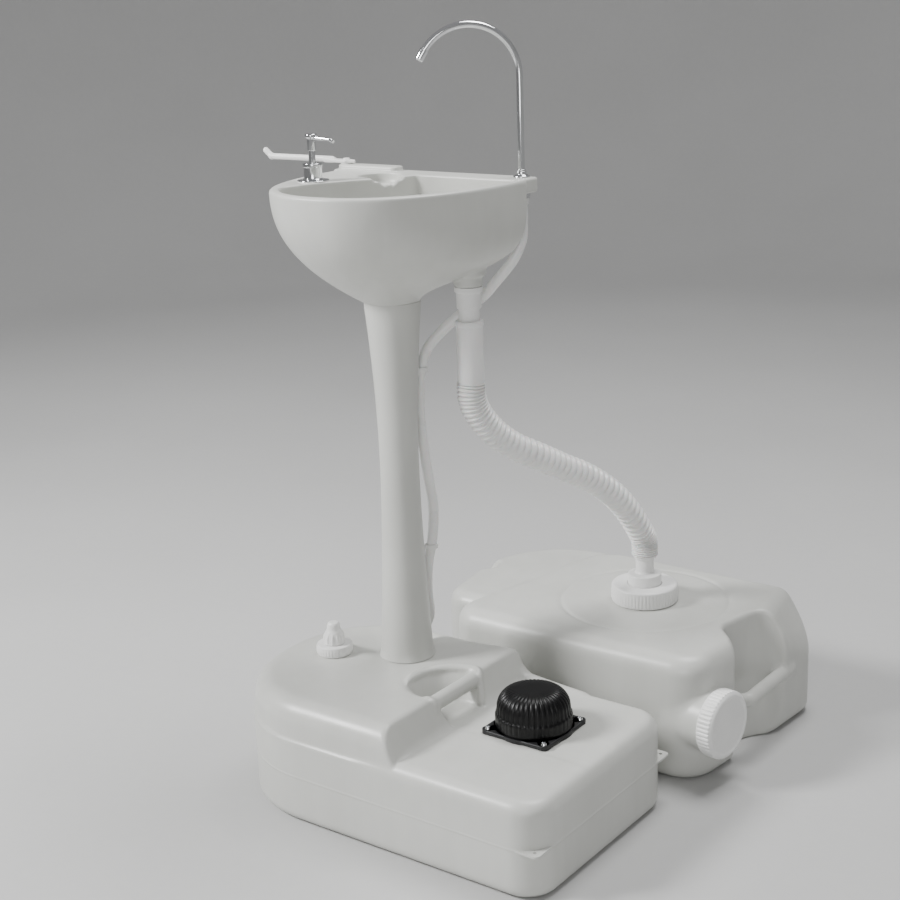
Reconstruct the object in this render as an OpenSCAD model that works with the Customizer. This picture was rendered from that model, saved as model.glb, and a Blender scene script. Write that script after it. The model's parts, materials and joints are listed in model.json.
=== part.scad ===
// Portable wash basin: a fresh water tank carries a waisted column, a double-walled basin,
// a foot pump and a gooseneck tap, and a ribbed hose drains the basin into a second tank.
// Millimetres. Origin at the centre of the fresh water tank's underside, +X towards the
// foot pump, +Y towards the waste tank, +Z up. The user stands on the -Y side.

/* [Fresh tank] */
// Length of the fresh water tank
base_l = 535; // [525:1:560]
// Width of the fresh water tank
base_w = 323; // [318:1:340]
// Height of the low deck that carries the foot pump
deck_h = 129; // [126:1:134]
// Height of the raised part that carries the column
top_h = 170; // [168:1:176]
// Plan radius of the two corners at the pump end
corner_r = 44; // [38:1:50]
// Plan radius of the two corners at the filler end
end_r = 149; // [130:1:152]
// Radius of the edge round the deck
deck_edge_r = 22; // [16:1:26]
// Radius of the shoulder round the raised part
shoulder_r = 32; // [26:1:36]
// Radius of the edge round the underside
foot_edge_r = 15; // [10:1:20]
// Wall of the blow-moulded tanks
tank_wall = 3; // [2.5:0.5:4]
// Where the sloping step's foot meets the deck, from the origin
step_x = 48; // [44:1:52]
// How far the step leans back between its foot and its top
step_lean = 20; // [14:1:24]
// Diameter of the carrying bar in the step
grip_d = 22; // [18:1:24]
// Thickness of the two corner ears
ear_t = 3; // [2.5:0.5:5]
// Diameter of the hole in each ear
ear_hole_d = 5; // [4:0.5:6]

/* [Filler] */
// Bore of the filler neck
filler_bore_d = 36; // [34:1:37]
// Outside of the filler neck
filler_neck_d = 41; // [40:0.5:43]
// Height of the filler neck above the raised part
filler_neck_h = 10; // [8:1:12]
// Outside diameter of the screw cap on the filler neck
filler_cap_d = 50; // [50:1:56]
// Height of the filler's ribbed stopper above the cap
stopper_h = 31; // [26:1:36]

/* [Foot pump] */
// Distance of the pump's axis from the origin along the tank
pump_x = 141; // [135:1:145]
// Distance of the pump's axis from the origin across the tank
pump_y = 26; // [20:1:30]
// Side of the square on which the four screws sit
pump_screw_pitch = 87; // [84:0.5:90]
// Diameter of the rubber dome
dome_d = 102; // [96:1:104]
// Height of the rubber dome above its clamp plate
dome_h = 50.5; // [46:0.5:56]
// How far the dome is pressed down
pump_travel = 30; // [20:1:32]
// Thickness of the pump's clamp plate
clamp_t = 4; // [3:0.5:5]

/* [Column] */
// Distance of the column's axis from the origin along the tank
column_x = -90; // [-94:1:-86]
// Distance of the column's axis from the origin across the tank
column_y = 57; // [54:1:60]
// Height of the column between the tank and the basin
column_h = 494; // [484:1:504]
// Diameter of the column's foot
column_foot_d = 74; // [71:1:78]
// Diameter of the column's waist
column_waist_d = 53; // [50:1:56]
// Diameter of the column's head
column_head_d = 75; // [73:1:78]
// Height of the waist above the tank, as a share of the column's height
waist_share = 0.57; // [0.5:0.01:0.64]
// Diameter of the plugs at the column's two ends
spigot_d = 63.4; // [60:0.2:65]
// Depth of the socket that each plug stands in
socket_depth = 34; // [30:1:38]

/* [Basin] */
// Height of the basin from its neck to its rim
basin_h = 159; // [154:1:166]
// Width of the basin across the front shell
basin_w = 316; // [310:1:324]
// Depth of the shell from its back wall to the front of the rim
basin_d = 255; // [250:1:262]
// Distance of the basin's middle from the origin along the tank
basin_x = -99; // [-102:1:-96]
// Distance of the shell's back wall from the origin across the tank
basin_back = 165; // [162:1:168]
// Width of the rim between the shell and the bowl
rim_w = 13; // [11:1:15]
// Depth of the bowl below the rim
bowl_depth = 99; // [90:1:102]
// Wall of the basin
basin_wall = 3; // [2.5:0.5:3.5]
// Thickness of the flange along the back
flange_t = 19; // [16:1:22]
// How far the flange reaches behind the shell
flange_reach = 29; // [26:1:34]
// Diameter of the round soap tray in the ledge
tray_d = 56; // [50:1:58]
// Depth of the soap tray below the ledge
tray_depth = 14; // [10:1:16]

/* [Tap] */
// Distance of the tap's axis from the origin along the tank
tap_x = 35; // [32:1:38]
// Distance of the tap's axis from the origin across the tank
tap_y = 181; // [179:1:183]
// Outside diameter of the tap's tube
tap_d = 9; // [8:0.5:10]
// Height of the straight stretch above the rim
tap_h = 129; // [110:1:150]
// Radius of the gooseneck
tap_bend_r = 66; // [58:1:72]
// Angle that the gooseneck sweeps before its nozzle
tap_arc = 148; // [130:1:178]
// Direction in which the gooseneck points, turned from +X
tap_turn = 223.3; // [200:0.1:250]

/* [Soap pump] */
// Distance of the soap pump's axis from the origin along the tank
soap_x = -204; // [-206:1:-202]
// Distance of the soap pump's axis from the origin across the tank
soap_y = 44; // [42:1:46]
// Diameter of the soap bottle
bottle_d = 37; // [34:1:38]
// Depth of the soap bottle below the ledge
bottle_h = 66; // [55:1:68]
// How far the soap pump is pressed down
soap_travel = 12; // [8:1:14]

/* [Towel arm] */
// Distance of the arm's pin from the origin along the tank
towel_x = -261; // [-262:1:-259]
// Distance of the arm's pin from the origin across the tank
towel_y = 182; // [180:1:184]
// Length of the arm from its pin to the start of its hook
towel_l = 141; // [120:1:160]
// Diameter of the arm
towel_d = 8.5; // [7:0.5:10]

/* [Drain] */
// Distance of the drain's axis from the origin along the tank
drain_x = -8; // [-10:1:-6]
// Distance of the drain's axis from the origin across the tank
drain_y = 115; // [113:1:117]
// Bore of the drain through the basin
drain_bore_d = 34; // [30:1:36]
// Diameter of the tail pipe
tail_d = 28; // [25:1:29]
// Diameter of the smooth cuff at the top of the hose
cuff_d = 36; // [35:1:38]

/* [Waste tank] */
// Length of the waste tank
waste_l = 508; // [500:1:516]
// Width of the waste tank
waste_w = 335; // [330:1:345]
// Height of the waste tank
waste_h = 180; // [176:1:186]
// Distance of the waste tank's middle from the origin along the fresh tank
waste_x = 57; // [52:1:62]
// Distance of the waste tank's near side from the origin
waste_near = 205; // [200:1:210]
// Radius of the shoulder round the waste tank's top
waste_edge_r = 26; // [22:1:30]
// Bore of the waste tank's mouth
mouth_bore_d = 76; // [70:1:78]
// Outside of the waste tank's mouth
mouth_d = 88; // [86:0.5:90]
// Outside diameter of the screw ring on the mouth
mouth_ring_d = 99; // [98:1:104]
// Bore of the pouring spout
spout_bore_d = 66; // [60:1:70]
// Outside diameter of the spout's cap
spout_cap_d = 98; // [96:1:102]
// Length of the spout's cap
spout_cap_l = 27; // [24:1:34]

/* [Hidden] */
$fn = 96;
// Facets of the round ends inside each hull
hull_fn = 32;
// Clearance of a fit that turns or slides, on the radius
running = 0.05;
// Clearance of a loose seat, on the radius
loose = 0.3;
off_white = [0.83, 0.83, 0.81];
pure_white = [0.94, 0.94, 0.93];
rubber_black = [0.07, 0.07, 0.08];
chrome_grey = [0.75, 0.76, 0.78];

neck_z = top_h + column_h;
rim_z = neck_z + basin_h;
bowl_z = rim_z - bowl_depth;
seam_h = deck_h - 12;

function mix(a, b, t) = a + (b - a) * t;
function clamp01(t) = min(1, max(0, t));
function unit(v) = v / norm(v);
// Points of an arc about c with radius r, from angle a to angle b in n steps
function arc(c, r, a, b, n = 5) = [
    for (i = [0:n]) let (t = mix(a, b, i / n)) [c.x + r * cos(t), c.y + r * sin(t)]
];

// Upright round post from z0 to z1 with rounded lower and upper edges
module post(r, z0, z1, low_r, high_r) {
    rotate_extrude($fn = hull_fn)
        polygon(concat(
            [[0, z0]],
            arc([r - low_r, z0 + low_r], low_r, -90, 0),
            arc([r - high_r, z1 - high_r], high_r, 0, 90),
            [[0, z1]]));
}

// Plate with four ears for the pump's screws
module eared_plate(r, t) {
    linear_extrude(t) {
        circle(r);
        for (a = [45, 135]) rotate(a) {
            square([pump_screw_pitch * sqrt(2), 15], center = true);
            for (s = [-1, 1]) translate([s * pump_screw_pitch / sqrt(2), 0]) circle(7.5);
        }
    }
}

// Ring of outer radius ro and inner radius ri that stands on z
module ring(ro, ri, z, h) {
    translate([0, 0, z]) difference() {
        cylinder(r = ro, h = h);
        translate([0, 0, -1]) cylinder(r = ri, h = h + 2);
    }
}

// The same ring about the point x, y
module ring_on(x, y, ro, ri, z, h) {
    translate([x, y, 0]) ring(ro, ri, z, h);
}

// Frames along a route: Catmull-Rom points, unit tangents and two normals carried without twist
function spline_point(p, i, t) =
    let (n = len(p) - 1,
        a = p[max(0, i - 1)], b = p[i], c = p[min(n, i + 1)], d = p[min(n, i + 2)])
    0.5 * (2 * b + (c - a) * t + (2 * a - 5 * b + 4 * c - d) * t * t
        + (3 * b - a - 3 * c + d) * t * t * t);
function route_at(p, u) =
    let (n = len(p) - 1, s = clamp01(u) * n, i = min(n - 1, floor(s)))
    spline_point(p, i, s - i);
function tangent_at(p, u) = unit(route_at(p, min(1, u + 0.004)) - route_at(p, max(0, u - 0.004)));
// Side direction square to the tangent, carried on from ring to ring
function sides_along(tangents, i, side) =
    i >= len(tangents) ? [] :
    let (s = unit(side - (side * tangents[i]) * tangents[i]))
    concat([s], sides_along(tangents, i + 1, s));

// Points of one closed ring of k sides and radius r about c
function ring_points(c, t, s, r, k) =
    let (b = cross(t, s))
    [for (j = [0:k - 1]) c + r * cos(360 * j / k) * s + r * sin(360 * j / k) * b];

// Faces between consecutive rings of k points, and the two end caps
function wall_faces(rings, k, first = 0) = [
    for (i = [0:rings - 2]) for (j = [0:k - 1]) let (
        a = first + i * k + j, b = first + i * k + (j + 1) % k, c = b + k, d = a + k)
        each [[a, b, c], [a, c, d]]
];
function cap_faces(k, first, turned) = [
    for (j = [1:k - 2]) turned ? [first, first + j, first + j + 1]
        : [first, first + j + 1, first + j]
];

// Solid tube of one radius along a route
module solid_tube(route, r, rings, k, side = [0, 0, 1]) {
    us = [for (i = [0:rings - 1]) i / (rings - 1)];
    ts = [for (u = us) tangent_at(route, u)];
    ss = sides_along(ts, 0, side);
    pts = [for (i = [0:rings - 1]) each ring_points(route_at(route, us[i]), ts[i], ss[i], r, k)];
    polyhedron(points = pts, faces = concat(
        cap_faces(k, 0, true),
        [for (f = wall_faces(rings, k)) [f[0], f[2], f[1]]],
        cap_faces(k, (rings - 1) * k, false)));
}

// Fresh water tank

// Outer form of the tank, drawn in by w on every side
module tank_form(w) {
    hull() for (s = [-1, 1]) {
        translate([base_l / 2 - corner_r, s * (base_w / 2 - corner_r), 0])
            post(corner_r - w, w, deck_h - w, foot_edge_r - w, deck_edge_r - w);
        translate([end_r - base_l / 2, s * (base_w / 2 - end_r), 0])
            post(end_r - w, w, seam_h, foot_edge_r - w, 1);
    }
    hull() for (s = [-1, 1]) {
        translate([end_r - base_l / 2, s * (base_w / 2 - end_r), 0])
            post(end_r - 1 - w, seam_h - 14, top_h - w, 1, shoulder_r - w);
        translate([step_x - 20, s * (base_w / 2 - 21), seam_h - 14])
            cylinder(r = 20 - w, h = deck_h - seam_h + 13 - w / 2, $fn = hull_fn);
        translate([step_x - step_lean - 14, s * (base_w / 2 - shoulder_r - 14), top_h - 14])
            sphere(r = 14 - w, $fn = 16);
    }
}

grip_x = step_x - 24;
grip_z = top_h - 2 - grip_d / 2;
hole_x = step_x - 21;
hole_y = 10.5;
hole_low_r = 26;
hole_high_r = 54.5;
hole_z = deck_h + 1;
// Hand hole in the step: a cone that opens upwards and cuts the step's face, grown by w
module hand_hole(w) {
    slope = (hole_high_r - hole_low_r) / (top_h - hole_z);
    above = 6;
    translate([hole_x, hole_y, hole_z - w])
        cylinder(r1 = hole_low_r + w * 0.6, r2 = hole_high_r + w * 1.2 + above * slope,
            h = top_h - hole_z + w + above);
}

// Shallow valley behind the column, where the supply hose enters
valley_r = 90;
valley_d = 12;
valley_x = column_x - 40;
valley_y = column_y + 27;
module valley(w) {
    translate([valley_x, valley_y, top_h + valley_r - valley_d]) sphere(r = valley_r + w);
}

filler_x = 87.5 - base_l / 2;
filler_y = 6;
outlet_x = column_x - 10;
outlet_y = column_y + 48;
outlet_z = top_h + 1;
well_d = 92;
ear_in = 9;

module fresh_tank() {
    color(off_white) {
        difference() {
            union() {
                difference() {
                    union() {
                        tank_form(0);
                        for (s = [-1, 1])
                            translate([base_l / 2 - corner_r, s * (base_w / 2 - corner_r), 66])
                                ear(s);
                    }
                    difference() {
                        tank_form(tank_wall);
                        hand_hole(tank_wall);
                        valley(tank_wall);
                    }
                }
                translate([column_x, column_y, top_h - socket_depth - 4])
                    cylinder(d = spigot_d + 2 * loose + 8, h = socket_depth + 3);
                translate([filler_x, filler_y, top_h - 8])
                    cylinder(d = filler_neck_d, h = filler_neck_h + 8);
                translate([outlet_x, outlet_y, outlet_z - 20]) cylinder(d = 22, h = 14);
            }
            hand_hole(0);
            valley(0);
            translate([column_x, column_y, top_h - socket_depth])
                cylinder(d = spigot_d + 2 * loose, h = socket_depth + 20);
            translate([filler_x, filler_y, top_h - 20])
                cylinder(d = filler_bore_d, h = filler_neck_h + 30);
            translate([outlet_x, outlet_y, outlet_z - 30]) cylinder(d = 11, h = 50);
            translate([pump_x, pump_y, deck_h - 20]) cylinder(d = well_d, h = 40);
            for (x = [-1, 1], y = [-1, 1])
                translate([pump_x + x * pump_screw_pitch / 2, pump_y + y * pump_screw_pitch / 2,
                    deck_h - 12]) cylinder(d = 4.2, h = 20, $fn = 24);
        }
        ring_on(column_x, column_y, column_foot_d / 2 + 1.5, spigot_d / 2 + loose, top_h - 9, 9);
        ring_on(outlet_x, outlet_y, 11, 5.5, outlet_z - 12, 12);
        translate([grip_x, hole_y, grip_z]) rotate([90, 0, 0])
            cylinder(d = grip_d, h = 2 * hole_high_r - 9, center = true);
    }
}

// Ear that fills the plan corner at the parting line, with its hole
module ear(s) {
    mirror([0, s < 0 ? 1 : 0, 0]) difference() {
        linear_extrude(ear_t) {
            square([corner_r - ear_in, corner_r]);
            square([corner_r, corner_r - ear_in]);
            translate([corner_r - ear_in, corner_r - ear_in]) circle(r = ear_in);
        }
        translate([corner_r - ear_in, corner_r - ear_in, -1])
            cylinder(d = ear_hole_d, h = ear_t + 2);
    }
}

// Filler

filler_top = top_h + filler_neck_h;
seal_t = 1.5;
cap_t = 3;
module filler_seal() {
    color(pure_white) translate([filler_x, filler_y, 0])
        ring(filler_neck_d / 2 - 0.5, 11, filler_top, seal_t);
}

spout_r = 10;
module filler_cap() {
    cap_z = top_h + 0.6;
    cap_top = filler_top + seal_t + cap_t;
    color(pure_white) translate([filler_x, filler_y, 0]) difference() {
        union() {
            translate([0, 0, cap_z]) cylinder(d = filler_cap_d, h = cap_top - cap_z);
            translate([0, 0, cap_top - 1]) cylinder(r = spout_r, h = stopper_h * 0.5);
            for (i = [0:35]) rotate(i * 10)
                translate([filler_cap_d / 2, 0, cap_z + 2])
                    cylinder(r = 0.9, h = cap_top - cap_z - 5, $fn = 8);
        }
        translate([0, 0, cap_z - 1])
            cylinder(d = filler_neck_d + 2 * loose, h = filler_top + seal_t - cap_z + 1);
        translate([0, 0, filler_top]) cylinder(r = spout_r - 3, h = stopper_h + 10);
    }
}

module filler_stopper() {
    z0 = filler_top + seal_t + cap_t;
    color(pure_white) translate([filler_x, filler_y, z0 + 0.2]) difference() {
        union() {
            rotate_extrude() polygon([
                [0, 0], [15, 0], [14.4, 8], [12.2, 17], [9.6, 22], [9, stopper_h - 3],
                [7, stopper_h], [0, stopper_h]]);
            for (i = [0:11]) rotate(i * 30)
                translate([13.6, 0, 2]) rotate([0, -9, 0]) cylinder(r = 1.6, h = 14, $fn = 16);
        }
        translate([0, 0, -1]) cylinder(r = spout_r + running, h = stopper_h * 0.5 + 1);
    }
}

// Foot pump

gasket_t = 1.5;
clamp_z = deck_h + gasket_t;
dome_z = clamp_z + clamp_t;
cup_d = well_d - 1;
cup_depth = 34;
cup_floor_z = clamp_z - cup_depth;
flap_x = 26;
guide_r = 6;
disc_top = dome_z + dome_h - 3.4;
disc_t = 5;
guide_low = cup_floor_z + 8;
guide_end = guide_low - pump_travel - 2;

module at_pump() {
    translate([pump_x, pump_y, 0]) children();
}

module pump_gasket() {
    color(rubber_black) at_pump() difference() {
        translate([0, 0, deck_h]) eared_plate(dome_d / 2 + 2, gasket_t);
        translate([0, 0, deck_h - 1]) cylinder(d = well_d, h = gasket_t + 2);
        pump_screw_holes();
    }
}

module pump_screw_holes() {
    for (x = [-1, 1], y = [-1, 1])
        translate([x * pump_screw_pitch / 2, y * pump_screw_pitch / 2, deck_h - 2])
            cylinder(d = 4.6, h = 20, $fn = 24);
}

module pump_clamp() {
    color(rubber_black) at_pump() difference() {
        union() {
            translate([0, 0, clamp_z]) eared_plate(dome_d / 2 + 2, clamp_t);
            translate([0, 0, cup_floor_z]) cylinder(d = cup_d, h = cup_depth + 1);
            translate([0, 0, guide_end - 3]) cylinder(r = guide_r + 3, h = cup_floor_z - guide_end + 4);
        }
        translate([0, 0, cup_floor_z + 3]) difference() {
            cylinder(d = cup_d - 6, h = cup_depth + 20);
            translate([0, 0, -1]) cylinder(r = guide_r + 3, h = 12);
        }
        translate([0, 0, guide_end]) cylinder(r = guide_r + running, h = 200);
        for (s = [-1, 1]) translate([s * flap_x, 0, cup_floor_z - 1]) cylinder(r = 4, h = 10);
        pump_screw_holes();
    }
}

// Dome of the bellows: an upright skirt, a small ledge and a rounded crown
module dome_shell(w) {
    r = dome_d / 2 - w;
    h = dome_h - w;
    rotate_extrude() polygon(concat(
        [[0, 0], [r - 1, 0], [r, 4], [r, h * 0.47], [r - 2.2, h * 0.5]],
        arc([r - 24, h - 22], 22, 8, 84, 7),
        [[0, h]]));
}

module pump_dome() {
    color(rubber_black) at_pump() translate([0, 0, dome_z]) difference() {
        dome_shell(0);
        translate([0, 0, -0.01]) dome_shell(3);
        cylinder(r = dome_d / 2 - 8, h = 8);
    }
}

spring_turns = 5;
spring_steps = 8;
spring_r = 17;
spring_wire = 1.4;
module pump_spring() {
    z0 = cup_floor_z + 3 + spring_wire + 0.3;
    z1 = disc_top - disc_t - spring_wire - 0.3;
    count = spring_turns * spring_steps + 1;
    centres = [for (i = [0:count - 1]) let (a = 360 * i / spring_steps)
        [spring_r * cos(a), spring_r * sin(a), mix(z0, z1, i / (count - 1))]];
    slopes = [for (i = [0:count - 1]) let (a = 360 * i / spring_steps)
        unit([-sin(a), cos(a), (z1 - z0) / (count - 1) * spring_steps / (2 * PI * spring_r)])];
    sides = sides_along(slopes, 0, [1, 0, 0]);
    pts = [for (i = [0:count - 1])
        each ring_points(centres[i], slopes[i], sides[i], spring_wire, 6)];
    echo(spring_least_gap = (z1 - z0) / spring_turns - 2 * spring_wire);
    color(chrome_grey) at_pump() polyhedron(points = pts, faces = concat(
        cap_faces(6, 0, true),
        [for (f = wall_faces(count, 6)) [f[0], f[2], f[1]]],
        cap_faces(6, (count - 1) * 6, false)));
}

module pump_disc() {
    color(rubber_black) at_pump() {
        translate([0, 0, disc_top - disc_t]) cylinder(r = 24, h = disc_t);
        translate([0, 0, guide_low]) cylinder(r = guide_r, h = disc_top - disc_t - guide_low + 1);
    }
}

module pump_screws() {
    color(chrome_grey) at_pump()
        for (x = [-1, 1], y = [-1, 1])
            translate([x * pump_screw_pitch / 2, y * pump_screw_pitch / 2, 0]) difference() {
                union() {
                    translate([0, 0, clamp_z + clamp_t]) cylinder(r1 = 4.2, r2 = 3.2, h = 2.4);
                    translate([0, 0, deck_h - 9]) cylinder(r = 2.05, h = gasket_t + clamp_t + 10);
                }
                translate([-2.6, -0.5, clamp_z + clamp_t + 1.4]) cube([5.2, 1, 2]);
                translate([-0.5, -2.6, clamp_z + clamp_t + 1.4]) cube([1, 5.2, 2]);
            }
}

module pump_inlet_flap() {
    color(rubber_black) at_pump() translate([-flap_x, 0, cup_floor_z + 3])
        cylinder(r = 7, h = 1.6);
}

module pump_outlet_flap() {
    color(rubber_black) at_pump() translate([flap_x, 0, cup_floor_z - 1.6])
        cylinder(r = 6, h = 1.6);
}

suction_d = 12;
module suction_tube() {
    color(pure_white) at_pump() translate([-flap_x, 0, 0])
        ring(suction_d / 2, 4, 10, cup_floor_z - 10);
}

module suction_strainer() {
    color(pure_white) at_pump() translate([-flap_x, 0, tank_wall]) difference() {
        cylinder(r = 12, h = 16);
        translate([0, 0, 10 - tank_wall]) cylinder(d = suction_d + 2 * running, h = 20);
        translate([0, 0, 2]) cylinder(r = 5, h = 20);
        for (i = [0:3]) rotate(i * 45) translate([-15, -1, 3]) cube([30, 2, 8]);
    }
}

delivery_z = 72;
delivery_r = 7;
// Route of the tube from the pump's outlet to the fitting behind the column
delivery_route = [
    [pump_x + flap_x, pump_y, cup_floor_z - 2.4], [pump_x + flap_x, pump_y, cup_floor_z - 12],
    [pump_x + flap_x - 10, pump_y + 8, delivery_z], [pump_x - 30, pump_y + 36, delivery_z - 6],
    [30, 80, delivery_z - 6], [outlet_x + 40, outlet_y - 8, delivery_z],
    [outlet_x + 8, outlet_y - 1, delivery_z + 14], [outlet_x, outlet_y, outlet_z - 34],
    [outlet_x, outlet_y, outlet_z - 22]
];
module delivery_tube() {
    color(pure_white) solid_tube(delivery_route, delivery_r, 34, 8, [1, 0, 0]);
}

supply_d = 14;
module outlet_fitting() {
    color(pure_white) translate([outlet_x, outlet_y, 0]) {
        translate([0, 0, outlet_z - 22]) cylinder(r = 5.2, h = 22);
        translate([0, 0, outlet_z]) cylinder(r = 9, h = 3);
        translate([0, 0, outlet_z + 2]) cylinder(d = supply_d + 3, h = 6);
    }
}

// Supply hose

tail_low_z = rim_z - flange_t - 22;
// Points of the supply hose between tap and tank, each height a share of the column's
supply_track = [
    [34, 180, 1.158], [27, 173, 1.111], [16, 164, 1.073], [4, 156, 1.04], [-9, 150, 1.008],
    [-38.6, 126.1, 0.949], [-57, 107.8, 0.904], [-68.5, 98.5, 0.8653], [-76, 95, 0.8138],
    [-80, 94, 0.749], [-80, 95, 0.668], [-78, 98, 0.577], [-75, 102, 0.494], [-72, 105, 0.425],
    [-73, 105, 0.36], [-77, 104, 0.2996], [-84, 104, 0.239], [-89, 107, 0.162], [-90, 111, 0.081]
];
function beside_column(p) = [p.x, p.y, mix(top_h, neck_z, p.z)];
supply_route = concat(
    [[tap_x, tap_y, tail_low_z], [tap_x, tap_y, tail_low_z - 16]],
    [for (p = supply_track) beside_column(p)],
    [[outlet_x, outlet_y, outlet_z + 13], [outlet_x, outlet_y, outlet_z + 8]]);
module supply_hose() {
    color(pure_white) solid_tube(supply_route, supply_d / 2, 68, 8, [1, 0, 0]);
}

// Clip at a point of the supply hose: a pad on the column's wall, a web and a hoop
module hose_clip(at) {
    gap = [at.x - column_x, at.y - column_y];
    reach = norm(gap);
    wall_r = column_r(at.z) + loose;
    translate([column_x, column_y, at.z]) rotate(atan2(gap.y, gap.x)) difference() {
        union() {
            intersection() {
                ring(wall_r + 2, wall_r, -6, 12);
                translate([0, -9, -6]) cube([wall_r + 3, 18, 12]);
            }
            translate([wall_r + 0.4, -2, -3]) cube([reach - wall_r - supply_d / 2, 4, 6]);
            translate([reach, 0, -3]) cylinder(d = supply_d + 5, h = 6);
        }
        translate([reach, 0, -7]) cylinder(d = supply_d + 1.8, h = 14);
    }
}

module hose_clip_upper() {
    color(pure_white) hose_clip(beside_column(supply_track[8]));
}

module hose_clip_lower() {
    color(pure_white) hose_clip(beside_column(supply_track[15]));
}

// Column

// Radius of the column at height z: two half cosine sweeps that meet in the waist
function column_r(z) =
    let (t = (z - top_h) / column_h,
        low = 1 - clamp01(t / waist_share),
        high = clamp01((t - waist_share) / (1 - waist_share)))
    (t < waist_share)
        ? mix(column_waist_d, column_foot_d, pow(low, 1.7)) / 2
        : mix(column_waist_d, column_head_d, pow(high, 1.9)) / 2;

module column() {
    steps = 24;
    side = [for (i = [0:steps]) let (z = top_h + column_h * i / steps) [column_r(z), z]];
    inner = [for (i = [steps:-1:0]) let (z = top_h + column_h * i / steps)
        [min(column_r(z), spigot_d / 2) - tank_wall, z]];
    foot_z = top_h - socket_depth + 1;
    head_z = neck_z + socket_depth;
    color(off_white) translate([column_x, column_y, 0]) rotate_extrude()
        polygon(concat(
            [[spigot_d / 2 - tank_wall, foot_z], [spigot_d / 2, foot_z], [spigot_d / 2, top_h]],
            side,
            [[spigot_d / 2, neck_z], [spigot_d / 2, head_z], [spigot_d / 2 - tank_wall, head_z]],
            inner));
}

// Basin

shell_a = basin_w / 2;
plan_corner = 12;
plan_y = basin_back - plan_corner;
plan_b = basin_d - plan_corner;
plan_power = 2.3;
front_steps = 26;
back_steps = 6;
neck_r = 40;
drain_flat_r = 24;
function signed_pow(v, p) = sign(v) * pow(abs(v), p);
// Half of a superellipse to the front, closed by a straight back with round corners, drawn in by w
function plan_outline(w) = let (a = shell_a - w, b = plan_b - w, c = plan_corner) concat(
    [for (i = [0:front_steps]) let (t = 180 * i / front_steps)
        [basin_x + a * signed_pow(cos(t), 2 / plan_power),
            plan_y - b * signed_pow(sin(t), 2 / plan_power)]],
    [for (i = [1:3]) let (t = 90 * i / 3)
        [basin_x - a + c * (1 - cos(t)), plan_y + (c - w) * sin(t)]],
    [for (i = [1:back_steps - 1])
        [mix(basin_x - a + c, basin_x + a - c, i / back_steps), plan_y + c - w]],
    [for (i = [3:-1:1]) let (t = 90 * i / 3)
        [basin_x + a - c * (1 - cos(t)), plan_y + (c - w) * sin(t)]]
);

// How full the shell is at height share h: slack at the front left, full at the back right
fuller_at = 36;
function shell_fill(h, angle) = let (w = max(0, cos(angle - fuller_at)))
    pow(1 - pow(1 - h, mix(2.6, 5.3, w)), mix(1.35, 2.3, w));

// Ring of the shell at height share h, drawn in by w
function shell_ring(h, w) = [
    for (p = plan_outline(0)) let (
        v = p - [column_x, column_y],
        out = neck_r + (norm(v) - neck_r) * shell_fill(h, atan2(v.y, v.x)) - w,
        q = [column_x, column_y] + unit(v) * out)
        [q.x, q.y, mix(neck_z + 0.5, rim_z, h)]
];

// Front of the ledge that carries the soap pump and the tray, as a radius about the bowl's centre
bowl_x = -60;
bowl_y = 70;
ledge_angle = 150;
ledge_r = 84;
function bowl_outline(w) = [
    for (p = plan_outline(rim_w)) let (
        v = p - [bowl_x, bowl_y],
        angle = (atan2(v.y, v.x) + 360) % 360,
        ledge = ledge_r + 0.021 * pow(angle - ledge_angle, 2),
        out = min(norm(v), ledge) + w)
        [bowl_x, bowl_y] + unit(v) * out
];

// Ring of the bowl at height share h above its floor, grown by w, sinking by w
function bowl_ring(h, w) = let (fill = pow(1 - pow(1 - h, 3.2), 0.8)) [
    for (p = bowl_outline(0)) let (
        v = p - [drain_x, drain_y],
        out = mix(drain_flat_r, norm(v), fill) + w,
        q = [drain_x, drain_y] + unit(v) * out)
        [q.x, q.y, mix(bowl_z, rim_z, h) - (h < 1 ? w : basin_wall)]
];

shell_heights = [0, 0.05, 0.1, 0.16, 0.23, 0.32, 0.44, 0.58, 0.74, 0.88, 0.975];
bowl_heights = [0, 0.02, 0.08, 0.18, 0.32, 0.5, 0.7, 0.88, 0.97];

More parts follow.
